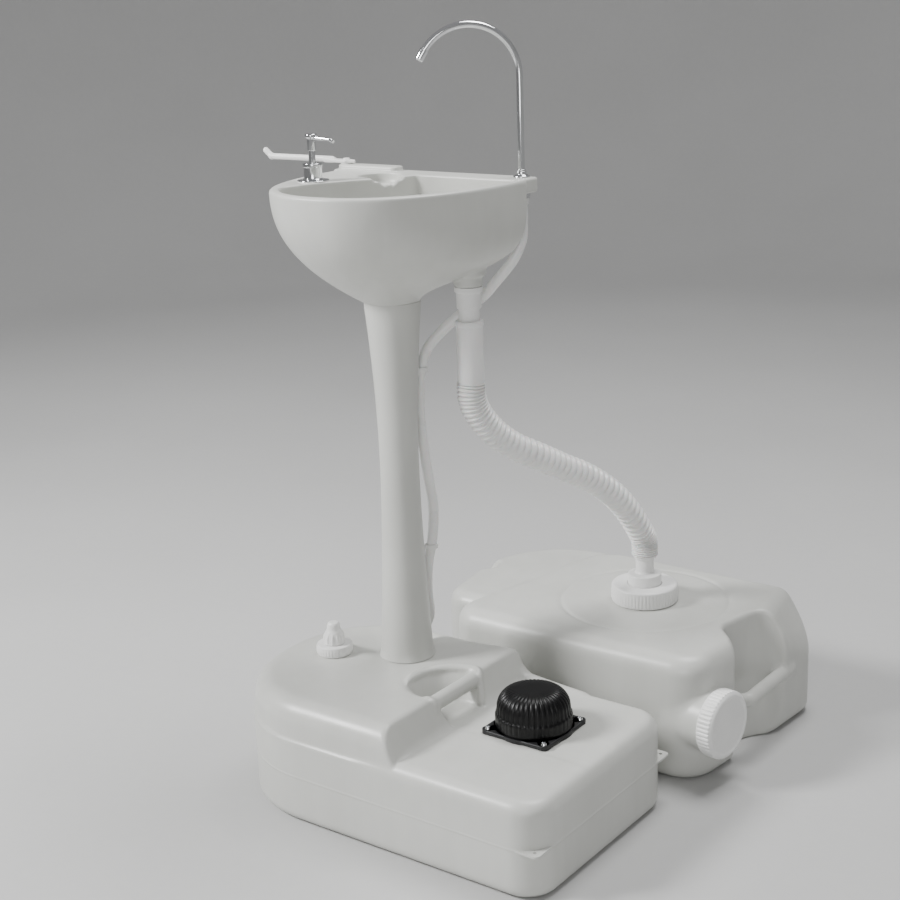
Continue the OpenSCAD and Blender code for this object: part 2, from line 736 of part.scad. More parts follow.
// Double-walled vessel as one skin: up the shell, over the rim, down the bowl, and back inside
module basin_skin() {
    k = len(plan_outline(0));
    rings = concat(
        [for (h = shell_heights) shell_ring(h, 0)],
        [[for (p = shell_ring(1, 3)) [p.x, p.y, rim_z]]],
        [[for (p = bowl_outline(3)) [p.x, p.y, rim_z]]],
        [for (i = [len(bowl_heights) - 1:-1:0]) bowl_ring(bowl_heights[i], 0)]);
    inner = concat(
        [for (h = bowl_heights) bowl_ring(h, basin_wall)],
        [[for (p = bowl_outline(basin_wall + 1)) [p.x, p.y, rim_z - basin_wall]]],
        [[for (p = shell_ring(1, basin_wall + 2)) [p.x, p.y, rim_z - basin_wall]]],
        [for (i = [len(shell_heights) - 1:-1:0]) shell_ring(shell_heights[i], basin_wall)]);
    all_rings = concat(rings, inner);
    n = len(all_rings);
    outer_n = len(rings);
    pts = concat([for (r = all_rings) each r],
        [[drain_x, drain_y, bowl_z], [drain_x, drain_y, bowl_z - basin_wall]]);
    top_c = n * k;
    low_c = n * k + 1;
    floor_first = (outer_n - 1) * k;
    under_first = outer_n * k;
    walls = concat(
        wall_faces(outer_n, k, 0),
        wall_faces(n - outer_n, k, under_first),
        [for (j = [0:k - 1]) [floor_first + j, floor_first + (j + 1) % k, top_c]],
        [for (j = [0:k - 1]) [under_first + (j + 1) % k, under_first + j, low_c]],
        [for (j = [0:k - 1]) let (
            a = (n - 1) * k + j, b = (n - 1) * k + (j + 1) % k, c = (j + 1) % k, d = j)
            each [[a, b, c], [a, c, d]]]);
    polyhedron(points = pts, faces = walls);
}

flange_right = basin_x + shell_a - 4;
flange_left = basin_x - shell_a - 13;
flange_back = basin_back + flange_reach;
flange_front = basin_back - 7;
strip_right = -165;
strip_h = 6;
drain_seat_z = neck_z + 23;
drain_seat_r = drain_bore_d / 2 + 2;
tray_x = -160;
tray_y = 130;

// Upright plate with four round corners
module rounded_plate(x0, x1, y0, y1, r, h) {
    linear_extrude(h) {
        translate([x0 + r, y0]) square([x1 - x0 - 2 * r, y1 - y0]);
        translate([x0, y0 + r]) square([x1 - x0, y1 - y0 - 2 * r]);
        for (x = [x0 + r, x1 - r], y = [y0 + r, y1 - r]) translate([x, y]) circle(r);
    }
}

module basin() {
    color(off_white) difference() {
        union() {
            basin_skin();
            translate([column_x, column_y, neck_z])
                cylinder(r = neck_r - 1.5, h = socket_depth + 6);
            translate([drain_x, drain_y, drain_seat_z])
                cylinder(r = drain_seat_r, h = bowl_z - drain_seat_z - 1);
            translate([drain_x, drain_y, drain_seat_z + 13])
                cylinder(r = drain_seat_r + 5, h = bowl_z - drain_seat_z - 14);
            translate([0, 0, rim_z - flange_t])
                rounded_plate(flange_left, flange_right, flange_front, flange_back, 9, flange_t);
            translate([0, 0, rim_z - 2])
                rounded_plate(flange_left + 2, strip_right, flange_back - 26, flange_back - 2,
                    8, strip_h + 2);
            translate([tray_x, tray_y, rim_z - tray_depth - 4])
                cylinder(d = tray_d + 6, h = tray_depth + 3);
        }
        translate([column_x, column_y, neck_z - 1])
            cylinder(d = spigot_d + 2 * loose, h = socket_depth + 3);
        translate([drain_x, drain_y, drain_seat_z - 1]) cylinder(d = drain_bore_d, h = 60);
        translate([tap_x, tap_y, rim_z - flange_t - 1])
            cylinder(d = tap_shank_d + 2 * loose, h = flange_t + 2);
        translate([soap_x, soap_y, rim_z - 10]) cylinder(d = bottle_d + 2 * loose, h = 20);
        translate([towel_x, towel_y, rim_z - 12]) cylinder(d = towel_pin_d, h = 40);
        translate([tray_x, tray_y, rim_z - tray_depth]) cylinder(d = tray_d, h = 40);
        translate([tray_x, tray_y, rim_z - tray_depth + 6]) rotate(ledge_angle + 180)
            translate([0, -18, 0]) cube([50, 36, 40]);
    }
}

// Tap

tap_shank_d = 14;
module at_tap() {
    translate([tap_x, tap_y, 0]) children();
}

module tap_bush() {
    color(chrome_grey) at_tap() difference() {
        union() {
            translate([0, 0, rim_z]) cylinder(d1 = 22, d2 = 19, h = 3);
            translate([0, 0, rim_z + 2]) cylinder(d = 13, h = 6);
            translate([0, 0, rim_z - flange_t - 8]) cylinder(d = tap_shank_d, h = flange_t + 9);
        }
        translate([0, 0, rim_z - flange_t - 10]) cylinder(d = tap_d + 2 * running, h = 60);
    }
}

module tap_tube() {
    color(chrome_grey) at_tap() rotate(tap_turn) {
        difference() {
            union() {
                translate([0, 0, rim_z - flange_t]) cylinder(d = tap_d, h = tap_h + flange_t);
                translate([0, 0, rim_z + 8.1]) cylinder(d = tap_d + 3, h = 2.5);
            }
            translate([0, 0, rim_z - flange_t - 1]) cylinder(d = tap_d - 2, h = tap_h + flange_t + 1);
        }
        translate([tap_bend_r, 0, rim_z + tap_h]) rotate([90, 0, 180])
            rotate_extrude(angle = tap_arc) translate([tap_bend_r, 0])
                difference() {
                    circle(d = tap_d, $fn = 32);
                    circle(d = tap_d - 2, $fn = 32);
                }
    }
}

// Frame at the end of the gooseneck, with +Z back along the tube
module at_tap_end() {
    translate([tap_bend_r * (1 - cos(tap_arc)), 0, rim_z + tap_h + tap_bend_r * sin(tap_arc)])
        rotate([0, tap_arc - 180, 0]) children();
}

module tap_nozzle() {
    color(chrome_grey) at_tap() rotate(tap_turn) at_tap_end()
        difference() {
            union() {
                translate([0, 0, -12]) cylinder(d = tap_d + 2.4, h = 14);
                translate([0, 0, -13.5]) cylinder(d1 = tap_d, d2 = tap_d + 2.4, h = 1.5);
            }
            cylinder(d = tap_d + 2 * loose, h = 5);
            translate([0, 0, -15]) cylinder(d = tap_d - 3, h = 20);
        }
}

module tap_nut() {
    color(chrome_grey) at_tap() translate([0, 0, rim_z - flange_t - 7]) difference() {
        cylinder(d = 26, h = 7, $fn = 6);
        translate([0, 0, -1]) cylinder(d = tap_shank_d, h = 9);
    }
}

module tap_tail() {
    color(pure_white) at_tap() difference() {
        union() {
            translate([0, 0, rim_z - flange_t - 16]) cylinder(d = tap_shank_d + 4, h = 8);
            translate([0, 0, tail_low_z]) cylinder(d = supply_d, h = 8);
        }
        translate([0, 0, tail_low_z - 1]) cylinder(d = 6, h = 40);
    }
}

// Soap pump

collar_h = 24;
module at_soap() {
    translate([soap_x, soap_y, 0]) children();
}

module soap_bottle() {
    color(pure_white) at_soap() difference() {
        union() {
            translate([0, 0, rim_z - bottle_h]) cylinder(d = bottle_d, h = bottle_h);
            translate([0, 0, rim_z]) cylinder(d = bottle_d + 5, h = 1);
        }
        translate([0, 0, rim_z - bottle_h + 2]) cylinder(d = bottle_d - 4, h = bottle_h + 10);
    }
}

stem_d = 9;
barrel_d = 15;
module soap_collar() {
    color(chrome_grey) at_soap() difference() {
        union() {
            translate([0, 0, rim_z + 1]) cylinder(d1 = bottle_d + 6, d2 = bottle_d + 2, h = 2);
            translate([0, 0, rim_z + 2]) cylinder(d = 25, h = collar_h - 2);
        }
        translate([0, 0, rim_z - 1]) cylinder(d = barrel_d + 2 * loose, h = collar_h - 3);
        translate([0, 0, rim_z]) cylinder(d = stem_d + 2 * running, h = 60);
    }
}

barrel_low = rim_z - 34;
piston_z = barrel_low + soap_travel + 12;
module soap_barrel() {
    color(pure_white) at_soap() difference() {
        translate([0, 0, barrel_low]) cylinder(d = barrel_d, h = rim_z + collar_h - 4 - barrel_low);
        translate([0, 0, barrel_low + 3])
            cylinder(d = barrel_d - 3, h = collar_h + 60);
        translate([0, 0, barrel_low - 1]) cylinder(d = 3, h = 10);
    }
}

head_z = rim_z + collar_h + soap_travel + 4;
module soap_stem() {
    color(chrome_grey) at_soap() {
        translate([0, 0, piston_z]) cylinder(d = stem_d, h = head_z + 10 - piston_z);
        translate([0, 0, piston_z]) cylinder(d = barrel_d - 3 - 2 * running, h = 5);
    }
}

soap_turns = 3;
module soap_spring() {
    wire = 0.7;
    r = 4;
    z0 = barrel_low + 3 + wire + 0.2;
    z1 = piston_z - wire - 0.2;
    steps = 8;
    count = soap_turns * steps + 1;
    centres = [for (i = [0:count - 1]) let (a = 360 * i / steps)
        [r * cos(a), r * sin(a), mix(z0, z1, i / (count - 1))]];
    slopes = [for (i = [0:count - 1]) let (a = 360 * i / steps)
        unit([-sin(a), cos(a), (z1 - z0) / (count - 1) * steps / (2 * PI * r)])];
    sides = sides_along(slopes, 0, [1, 0, 0]);
    pts = [for (i = [0:count - 1]) each ring_points(centres[i], slopes[i], sides[i], wire, 6)];
    echo(soap_spring_least_gap = (z1 - z0) / soap_turns - 2 * wire);
    color(chrome_grey) at_soap() polyhedron(points = pts, faces = concat(
        cap_faces(6, 0, true),
        [for (f = wall_faces(count, 6)) [f[0], f[2], f[1]]],
        cap_faces(6, (count - 1) * 6, false)));
}

soap_nozzle_l = 38;
module soap_head() {
    color(chrome_grey) at_soap() difference() {
        union() {
            translate([0, 0, head_z]) cylinder(d = 13, h = 16);
            translate([0, 0, head_z + 15]) cylinder(d1 = 13, d2 = 17, h = 3);
            translate([0, 0, head_z + 18]) cylinder(d = 17, h = 4);
            translate([0, 0, head_z + 17]) rotate([0, 93, 0]) cylinder(d1 = 6, d2 = 4, h = soap_nozzle_l);
        }
        translate([0, 0, head_z - 1]) cylinder(d = stem_d + 2 * running, h = 11.2);
    }
}

module soap_dip_tube() {
    color(pure_white) at_soap()
        ring(2.5, 1.5, rim_z - bottle_h + 5, barrel_low - rim_z + bottle_h - 5);
}

// Towel arm

towel_pin_d = 6;
pin_seat_z = rim_z + strip_h;
arm_z = pin_seat_z + 1.2;
arm_t = 4.5;
module towel_pin() {
    color(pure_white) translate([towel_x, towel_y, 0]) {
        translate([0, 0, rim_z - 12]) cylinder(d = towel_pin_d, h = strip_h + 14 + arm_t);
        translate([0, 0, arm_z + arm_t + 0.1]) cylinder(d1 = 11, d2 = 8, h = 2);
    }
}

module towel_washer() {
    color(pure_white) translate([towel_x, towel_y, 0])
        ring(8, towel_pin_d / 2 + running, pin_seat_z, 1.1);
}

module towel_arm() {
    color(pure_white) translate([towel_x, towel_y, arm_z]) {
        difference() {
            union() {
                cylinder(r = 8, h = arm_t);
                linear_extrude(arm_t) polygon([[14, 1.5], [14, -1.5], [0, -8], [-34, -5], [-34, 5], [0, 8]]);
                translate([14, 0, 0]) cylinder(r = 1.5, h = arm_t, $fn = 24);
            }
            translate([0, 0, -1]) cylinder(d = towel_pin_d + 2 * running, h = arm_t + 2);
        }
        translate([-30, 0, arm_t - 0.5]) rotate([0, -90, 0])
            cylinder(d = towel_d, h = towel_l - 30);
        translate([-towel_l, 0, arm_t - 0.5]) sphere(d = towel_d + 0.2, $fn = 48);
        translate([-towel_l, 0, arm_t - 0.5]) rotate([0, -52, 0])
            cylinder(d = towel_d, h = 16);
    }
}

// Drain

strainer_t = 2.5;
module at_drain() {
    translate([drain_x, drain_y, 0]) children();
}

module drain_strainer() {
    color(chrome_grey) at_drain() difference() {
        union() {
            translate([0, 0, bowl_z]) cylinder(d = drain_bore_d + 8, h = strainer_t);
            translate([0, 0, drain_seat_z - 2])
                cylinder(d = drain_bore_d - 2 * loose, h = bowl_z - drain_seat_z + 3);
        }
        translate([0, 0, drain_seat_z - 3])
            cylinder(d = drain_bore_d - 6, h = bowl_z - drain_seat_z + 3 + 0.5);
        for (i = [0:5]) rotate(i * 60) translate([9, 0, bowl_z - 5])
            cylinder(r = 3.2, h = 20, $fn = 32);
        translate([0, 0, bowl_z - 5]) cylinder(r = 3.2, h = 20, $fn = 32);
    }
}

nut_low = drain_seat_z - 29;
module drain_gasket() {
    color(pure_white) at_drain() ring(drain_seat_r, drain_bore_d / 2 + loose, drain_seat_z - 2, 2);
}

module drain_nut() {
    color(pure_white) at_drain() difference() {
        union() {
            translate([0, 0, drain_seat_z - 7]) cylinder(r = drain_seat_r, h = 5);
            translate([0, 0, nut_low]) cylinder(d = tail_d + 5, h = 24);
        }
        translate([0, 0, nut_low - 1]) cylinder(d = tail_d + 2 * loose, h = 60);
    }
}

cuff_low = neck_z - 106;
cuff_h = 84;
module drain_pipe() {
    color(pure_white) at_drain() ring(tail_d / 2, tail_d / 2 - 2, cuff_low + cuff_h - 26,
        drain_seat_z - 2 - cuff_low - cuff_h + 26);
}

module hose_cuff() {
    color(pure_white) at_drain() difference() {
        union() {
            translate([0, 0, cuff_low]) cylinder(d = cuff_d, h = cuff_h - 2);
            translate([0, 0, cuff_low + cuff_h - 6]) cylinder(d = cuff_d + 1.2, h = 6);
        }
        translate([0, 0, cuff_low - 1]) cylinder(d = hose_bore_d, h = cuff_h + 2);
        translate([0, 0, cuff_low + cuff_h - 28]) cylinder(d = tail_d + 2 * loose, h = 40);
    }
}

hose_bore_d = 27;
hose_rib_d = 39;
hose_root_d = 34;
hose_ribs = 58;
adaptor_top = waste_h + 70;
mouth_x = 102;
mouth_y = 385;
// Points of the ribbed hose between cuff and adaptor, each height a share of the drop
drain_track = [
    [-8, 115, 0.94], [-5, 121, 0.87], [5, 138, 0.779], [20, 166, 0.688], [38, 205, 0.61],
    [52, 243, 0.536], [66, 285, 0.458], [80, 322, 0.364], [91, 353, 0.25], [99, 377, 0.127],
    [101.7, 383.8, 0.08]
];
drain_route = concat(
    [[drain_x, drain_y, cuff_low]],
    [for (p = drain_track) [p.x, p.y, mix(adaptor_top, cuff_low, p.z)]],
    [[mouth_x, mouth_y, adaptor_top + 14], [mouth_x, mouth_y, adaptor_top]]);
// Hose with a bore and raised ribs: each rib is a root ring and a crest ring of eight sides
module drain_hose() {
    k = 8;
    rings = 2 * hose_ribs + 2;
    us = [for (i = [0:rings - 1]) i / (rings - 1)];
    ts = [for (i = [0:rings - 1])
        i == 0 || i == rings - 1 ? [0, 0, -1] : tangent_at(drain_route, us[i])];
    ss = sides_along(ts, 0, [1, 0, 0]);
    radii = [for (i = [0:rings - 1])
        (i == 0 || i == rings - 1 || i % 2 == 1) ? hose_root_d / 2 : hose_rib_d / 2];
    bore_rings = floor(rings / 3) + 1;
    ib = [for (i = [0:bore_rings - 1]) i == bore_rings - 1 ? rings - 1 : i * 3];
    outer = [for (i = [0:rings - 1])
        each ring_points(route_at(drain_route, us[i]), ts[i], ss[i], radii[i], k)];
    bore = [for (i = ib)
        each ring_points(route_at(drain_route, us[i]), ts[i], ss[i], hose_bore_d / 2, k)];
    n0 = rings * k;
    last_outer = (rings - 1) * k;
    last_bore = n0 + (bore_rings - 1) * k;
    steps = [for (i = [1:2:rings - 3]) norm(route_at(drain_route, us[i + 2]) - route_at(drain_route, us[i]))];
    echo(hose_least_pitch = min(steps));
    color(pure_white) polyhedron(points = concat(outer, bore), faces = concat(
        [for (f = wall_faces(rings, k)) [f[0], f[2], f[1]]],
        wall_faces(bore_rings, k, n0),
        [for (j = [0:k - 1]) let (a = j, b = (j + 1) % k, c = n0 + (j + 1) % k, d = n0 + j)
            each [[a, b, c], [a, c, d]]],
        [for (j = [0:k - 1]) let (a = last_outer + j, b = last_outer + (j + 1) % k,
            c = last_bore + (j + 1) % k, d = last_bore + j)
            each [[a, c, b], [a, d, c]]]));
}

// Waste tank

waste_left = waste_x - waste_l / 2;
waste_right = waste_x + waste_l / 2;
waste_far = waste_near + waste_w;
lobe_drop = 2;
slope_low = 118;
// Main block, sloping at its far right, and the lobe at the left end, both drawn in by w
module waste_form(w) {
    e = waste_edge_r - w;
    f = foot_edge_r + 3 - w;
    hull() {
        translate([waste_left + 109, waste_near + 42, 0]) post(42 - w, w, waste_h - w, f, e);
        translate([waste_right - 75, waste_near + 55, 0]) post(52 - w, w, waste_h - w, f, e);
        translate([waste_right - 43, waste_far - 43, 0]) post(43 - w, w, slope_low - w, f, e);
        translate([waste_right - 85, waste_far - 40, 0]) post(40 - w, w, waste_h - w, f, e);
        translate([waste_left + 182, waste_far - 55, 0]) post(55 - w, w, waste_h - w, f, e);
    }
    hull() {
        translate([waste_left + 54, waste_near + 95, 0])
            post(40 - w, w, waste_h - lobe_drop - w, f, e - 6);
        translate([waste_left + 139, waste_far - 136, 0])
            post(140 - w, w, waste_h - lobe_drop - w, f, e - 6);
        translate([waste_left + 182, waste_near + 110, 0])
            post(40 - w, w, waste_h - lobe_drop - w, f, e - 6);
        translate([waste_left + 222, waste_far - 60, 0])
            post(60 - w, w, waste_h - lobe_drop - w, f, e - 6);
    }
}

bay_r = 12;
bay_x = waste_right - bay_r - 42.3;
bay_y = waste_near + 152.5;
grip2_z = 88;
grip2_r = 10;
grip2_x = waste_right - 10.5;
// Corners of the hand bay from its inner near one, at the tank's top and, drawn in, at its foot
bay_top = [[0, 0], [56, -57.1], [93.3, 70.5], [14.1, 70.5]];
bay_foot = [[17.9, -18.3], [73.9, -75.3], [85.1, 77.9], [25.1, 17.9]];
// Bay for the hand at the right end, grown by w
module hand_bay(w) {
    hull() {
        for (p = bay_top)
            translate([bay_x + p[0], bay_y + p[1], waste_h]) cylinder(r = bay_r + w, h = 10, $fn = 32);
        for (p = bay_foot)
            translate([bay_x + p[0], bay_y + p[1], -1]) cylinder(r = bay_r + w, h = 1, $fn = 32);
    }
}

// Bar across the bay, bent inwards at its near end, with a ball at each knee
knee_swell = 0.05;
grip2_bends = [[grip2_x - 28, waste_near + 110], [grip2_x - 8, waste_near + 114],
    [grip2_x, waste_near + 127], [grip2_x, waste_near + 250]];
module bay_bar() {
    for (i = [0:2])
        let (a = grip2_bends[i], run = grip2_bends[i + 1] - a)
            translate([a[0], a[1], grip2_z]) rotate(atan2(run[1], run[0])) rotate([0, 90, 0])
                cylinder(r = grip2_r, h = norm(run));
    for (i = [1:2])
        translate([grip2_bends[i][0], grip2_bends[i][1], grip2_z]) sphere(r = grip2_r + knee_swell);
}

spout_turn = -6;
spout_cx = waste_right - 75.5;
spout_cy = waste_near + 46;
spout_z = 87;
spout_at = 53;
spout_neck_l = spout_cap_l - 8;
module at_spout() {
    translate([spout_cx, spout_cy, spout_z]) rotate(spout_turn) rotate([0, 90, 0])
        translate([0, 0, spout_at]) children();
}

mouth_top = waste_h + 17;
module waste_tank() {
    color(off_white) {
        difference() {
            union() {
                difference() {
                    waste_form(0);
                    difference() {
                        waste_form(tank_wall);
                        hand_bay(tank_wall);
                    }
                }
                translate([mouth_x, mouth_y, waste_h - 5])
                    cylinder(d = mouth_d, h = mouth_top - waste_h + 5);
                at_spout() translate([0, 0, -12])
                    cylinder(d = spout_cap_d - 12, h = spout_neck_l + 12);
            }
            hand_bay(0);
            translate([mouth_x, mouth_y, waste_h - 20]) cylinder(d = mouth_bore_d, h = 60);
            at_spout() translate([0, 0, -22]) cylinder(d = spout_bore_d, h = 60);
            translate([mouth_x, mouth_y, waste_h + 0.4]) rotate_extrude()
                translate([124, 0]) circle(r = 2.2, $fn = 16);
            translate([waste_left + 2, waste_near + 188, waste_h - 2])
                sphere(r = 24, $fn = 48);
        }
        bay_bar();
    }
}

module at_mouth() {
    translate([mouth_x, mouth_y, 0]) children();
}

module mouth_seal() {
    color(rubber_black) at_mouth() ring(mouth_d / 2 - 0.5, mouth_bore_d / 2 - 2, mouth_top, 2);
}

boss_r = 24.5;
module hose_adaptor() {
    z0 = mouth_top + 2;
    color(pure_white) at_mouth() difference() {
        union() {
            translate([0, 0, z0]) cylinder(d = mouth_d - 1, h = 3);
            translate([0, 0, z0 + 2]) cylinder(r = boss_r, h = 22);
            translate([0, 0, z0 + 23]) cylinder(d = hose_bore_d - 2.8, h = adaptor_top + 14 - z0 - 23);
            translate([0, 0, adaptor_top - 4]) cylinder(d = hose_root_d - 2, h = 4);
        }
        translate([0, 0, z0 - 1]) cylinder(d = hose_bore_d - 6, h = 100);
    }
}

washer_z = mouth_top + 5;
module mouth_washer() {
    color(pure_white) at_mouth() ring(mouth_d / 2 - 1, boss_r + loose, washer_z, 1.5);
}

module mouth_ring() {
    z0 = waste_h + 1;
    color(pure_white) at_mouth() difference() {
        union() {
            translate([0, 0, z0]) cylinder(d = mouth_ring_d, h = washer_z + 4.5 - z0 - 1.5);
            translate([0, 0, washer_z + 2.9])
                cylinder(d1 = mouth_ring_d, d2 = mouth_ring_d - 6, h = 1.6);
            for (i = [0:59]) rotate(i * 6) translate([mouth_ring_d / 2, 0, z0 + 2])
                cylinder(r = 0.8, h = washer_z - z0 - 4, $fn = 6);
        }
        translate([0, 0, z0 - 1]) cylinder(d = mouth_d + 2 * loose, h = washer_z + 1.5 - z0 + 1);
        translate([0, 0, z0]) cylinder(r = boss_r + 1, h = 60);
    }
}

module spout_seal() {
    color(pure_white) at_spout() ring(spout_cap_d / 2 - 6.5, spout_bore_d / 2 - 2, spout_neck_l, 2);
}

module spout_cap() {
    color(pure_white) at_spout() difference() {
        union() {
            translate([0, 0, 3]) cylinder(d = spout_cap_d - 1.5, h = spout_cap_l - 5);
            translate([0, 0, spout_cap_l - 2.5])
                cylinder(d1 = spout_cap_d - 1.5, d2 = spout_cap_d - 5.5, h = 2.5);
            for (i = [0:47]) rotate(i * 7.5) translate([spout_cap_d / 2 - 1, 0, 4])
                cylinder(r = 1.4, h = spout_cap_l - 8, $fn = 6);
        }
        translate([0, 0, 2]) cylinder(d = spout_cap_d - 12 + 2 * loose, h = spout_neck_l);
        translate([0, 0, spout_cap_l - 1.5]) cylinder(d = spout_cap_d - 26, h = 3);
    }
}

fresh_tank();
filler_seal();
filler_cap();
filler_stopper();
pump_gasket();
pump_clamp();
pump_dome();
pump_spring();
pump_disc();
pump_screws();
pump_inlet_flap();
pump_outlet_flap();
suction_tube();
suction_strainer();
delivery_tube();
outlet_fitting();
supply_hose();
hose_clip_upper();
hose_clip_lower();
column();
basin();
tap_bush();
tap_tube();
tap_nozzle();
tap_nut();
tap_tail();
soap_bottle();
soap_collar();
soap_barrel();
soap_spring();
soap_stem();
soap_head();
soap_dip_tube();
towel_pin();
towel_washer();
towel_arm();
drain_strainer();
drain_gasket();
drain_nut();
drain_pipe();
hose_cuff();
drain_hose();
waste_tank();
mouth_seal();
hose_adaptor();
mouth_washer();
mouth_ring();
spout_seal();
spout_cap();
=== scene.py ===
import json

import bpy
import numpy as np
from mathutils import Matrix, Vector


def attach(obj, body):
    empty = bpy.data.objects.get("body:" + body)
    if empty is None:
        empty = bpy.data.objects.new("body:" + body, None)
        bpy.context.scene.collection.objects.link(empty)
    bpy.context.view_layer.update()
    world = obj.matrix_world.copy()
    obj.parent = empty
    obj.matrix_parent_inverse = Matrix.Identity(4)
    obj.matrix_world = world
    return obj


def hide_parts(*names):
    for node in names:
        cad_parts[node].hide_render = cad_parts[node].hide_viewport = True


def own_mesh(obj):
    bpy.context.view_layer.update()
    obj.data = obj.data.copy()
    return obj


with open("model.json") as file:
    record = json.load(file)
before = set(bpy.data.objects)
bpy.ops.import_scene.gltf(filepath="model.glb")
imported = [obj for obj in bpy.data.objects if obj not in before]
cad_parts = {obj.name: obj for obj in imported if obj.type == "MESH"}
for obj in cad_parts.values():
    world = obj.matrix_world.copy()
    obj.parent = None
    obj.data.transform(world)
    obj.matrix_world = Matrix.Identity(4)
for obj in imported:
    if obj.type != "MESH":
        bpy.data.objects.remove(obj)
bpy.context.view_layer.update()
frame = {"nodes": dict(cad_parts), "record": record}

# Portable wash basin. Shapes are worked out in millimetres in the part's frame and put into
# meshes in metres.
MM = 0.001
TAU = 2 * np.pi


# Camera, at the photograph's place: a 65 mm lens on a 36 mm frame

eye = Vector((1.2237, -1.5851, 1.0788))
right = Vector((0.8062, 0.5906, -0.0333))
upward = Vector((-0.1402, 0.2456, 0.9592))
lens = bpy.data.cameras.new("camera")
lens.lens = 64.96
lens.sensor_width = 36
camera = bpy.data.objects.new("camera", lens)
bpy.context.collection.objects.link(camera)
turned = Matrix((right, upward, right.cross(upward))).transposed().to_4x4()
camera.matrix_world = Matrix.Translation(eye) @ turned
bpy.context.scene.camera = camera


# Meshes

def ramp(t, a, b):
    """Smooth step from 0 at a to 1 at b: 3u^2 - 2u^3 of the clipped share u."""
    u = np.clip((t - a) / (b - a), 0, 1)
    return u * u * (3 - 2 * u)


def unit(v):
    """Each row of v divided by its length."""
    return v / np.linalg.norm(v, axis=-1, keepdims=True)


def grid_faces(rows, cols):
    """Quads between neighbouring rows and columns of a grid whose columns close on themselves."""
    r = np.arange(rows - 1)[:, None]
    c = np.arange(cols)[None, :]
    after = (c + 1) % cols
    return np.stack([r * cols + c, r * cols + after, (r + 1) * cols + after, (r + 1) * cols + c],
                    -1).reshape(-1, 4)


def joined(points, quads):
    """Points that lie within a micron of each other become one, and a quad that loses a side
    becomes a triangle."""
    _, first, inverse = np.unique(np.round(points, 3), axis=0, return_index=True,
                                  return_inverse=True)
    q = inverse.reshape(-1)[quads]
    low = q[:, 0] == q[:, 1]
    high = q[:, 2] == q[:, 3]
    faces = q[~low & ~high].tolist()
    faces += q[low & ~high][:, [1, 2, 3]].tolist()
    faces += q[high & ~low][:, [0, 1, 2]].tolist()
    return points[first], faces


def piece(name, points, faces, body, finish, replaced=(), crease=None):
    """Puts points in millimetres and faces into a smooth-shaded mesh that rides on a body.
    Edges sharper than crease degrees stay sharp."""
    mesh = bpy.data.meshes.new(name)
    mesh.from_pydata((np.asarray(points) * MM).tolist(), [],
                     faces if isinstance(faces, list) else faces.tolist())
    mesh.shade_smooth()
    if crease:
        mesh.set_sharp_from_angle(angle=np.radians(crease))
    mesh.materials.append(finish)
    obj = bpy.data.objects.new(name, mesh)
    bpy.context.collection.objects.link(obj)
    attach(obj, body)
    if replaced:
        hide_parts(*replaced)
    return obj


def turned_profile(profile, centre, cols=96, axis=(0, 0, 1), wave=None):
    """A profile of radius and height carried once round an axis through centre. wave(radius,
    height, angle) adds to the radius, which is how ribs, knurls and flutes are made."""
    profile = np.asarray(profile, float)
    angle = np.arange(cols) * TAU / cols
    radius = np.repeat(profile[:, :1], cols, 1)
    if wave is not None:
        radius = radius + wave(profile[:, 0:1], profile[:, 1:2], angle[None, :])
    top = unit(np.asarray(axis, float))
    side = unit(np.cross(top, (0, 1, 0) if abs(top[1]) < 0.9 else (1, 0, 0)))
    across = np.cross(top, side)
    around = np.cos(angle)[:, None] * side + np.sin(angle)[:, None] * across
    points = (np.asarray(centre, float) + radius[..., None] * around[None]
              + profile[:, 1, None, None] * top)
    return points.reshape(-1, 3), grid_faces(len(profile), cols)


def soft_profile(corners, steps=4):
    """A line of radius and height corners, each cut back and rounded by its own third number:
    the rounding is the quadratic curve between the two cut points."""
    out = []
    count = len(corners)
    for i, corner in enumerate(corners):
        p = np.array(corner[:2], float)
        r = corner[2] if len(corner) > 2 else 0
        if r == 0 or i in (0, count - 1):
            out.append(p)
            continue
        a = np.array(corners[i - 1][:2], float) - p
        b = np.array(corners[i + 1][:2], float) - p
        a = p + a / np.linalg.norm(a) * min(r, np.linalg.norm(a) / 2.01)
        b = p + b / np.linalg.norm(b) * min(r, np.linalg.norm(b) / 2.01)
        for t in np.linspace(0, 1, steps + 1):
            out.append((1 - t) ** 2 * a + 2 * t * (1 - t) * p + t * t * b)
    return np.array(out)


def lathed(name, corners, centre, body, finish, replaced=(), cols=96,
           axis=(0, 0, 1), wave=None, crease=50):
    """A round piece from the rounded line of its corners, listed from its underside to its top."""
    points, quads = turned_profile(soft_profile(corners), centre, cols, axis, wave)
    points, faces = joined(points, quads)
    return piece(name, points, faces, body, finish, replaced, crease)


def route_points(route, count):
    """Catmull-Rom curve through the route's points, even in the spline's own parameter."""
    p = np.asarray(route, float)
    n = len(p) - 1
    s = np.linspace(0, 1, count) * n
    i = np.minimum(n - 1, np.floor(s).astype(int))
    t = (s - i)[:, None]
    a, b, c, d = p[np.maximum(0, i - 1)], p[i], p[np.minimum(n, i + 1)], p[np.minimum(n, i + 2)]
    return 0.5 * (2 * b + (c - a) * t + (2 * a - 5 * b + 4 * c - d) * t ** 2
                  + (3 * b - a - 3 * c + d) * t ** 3)


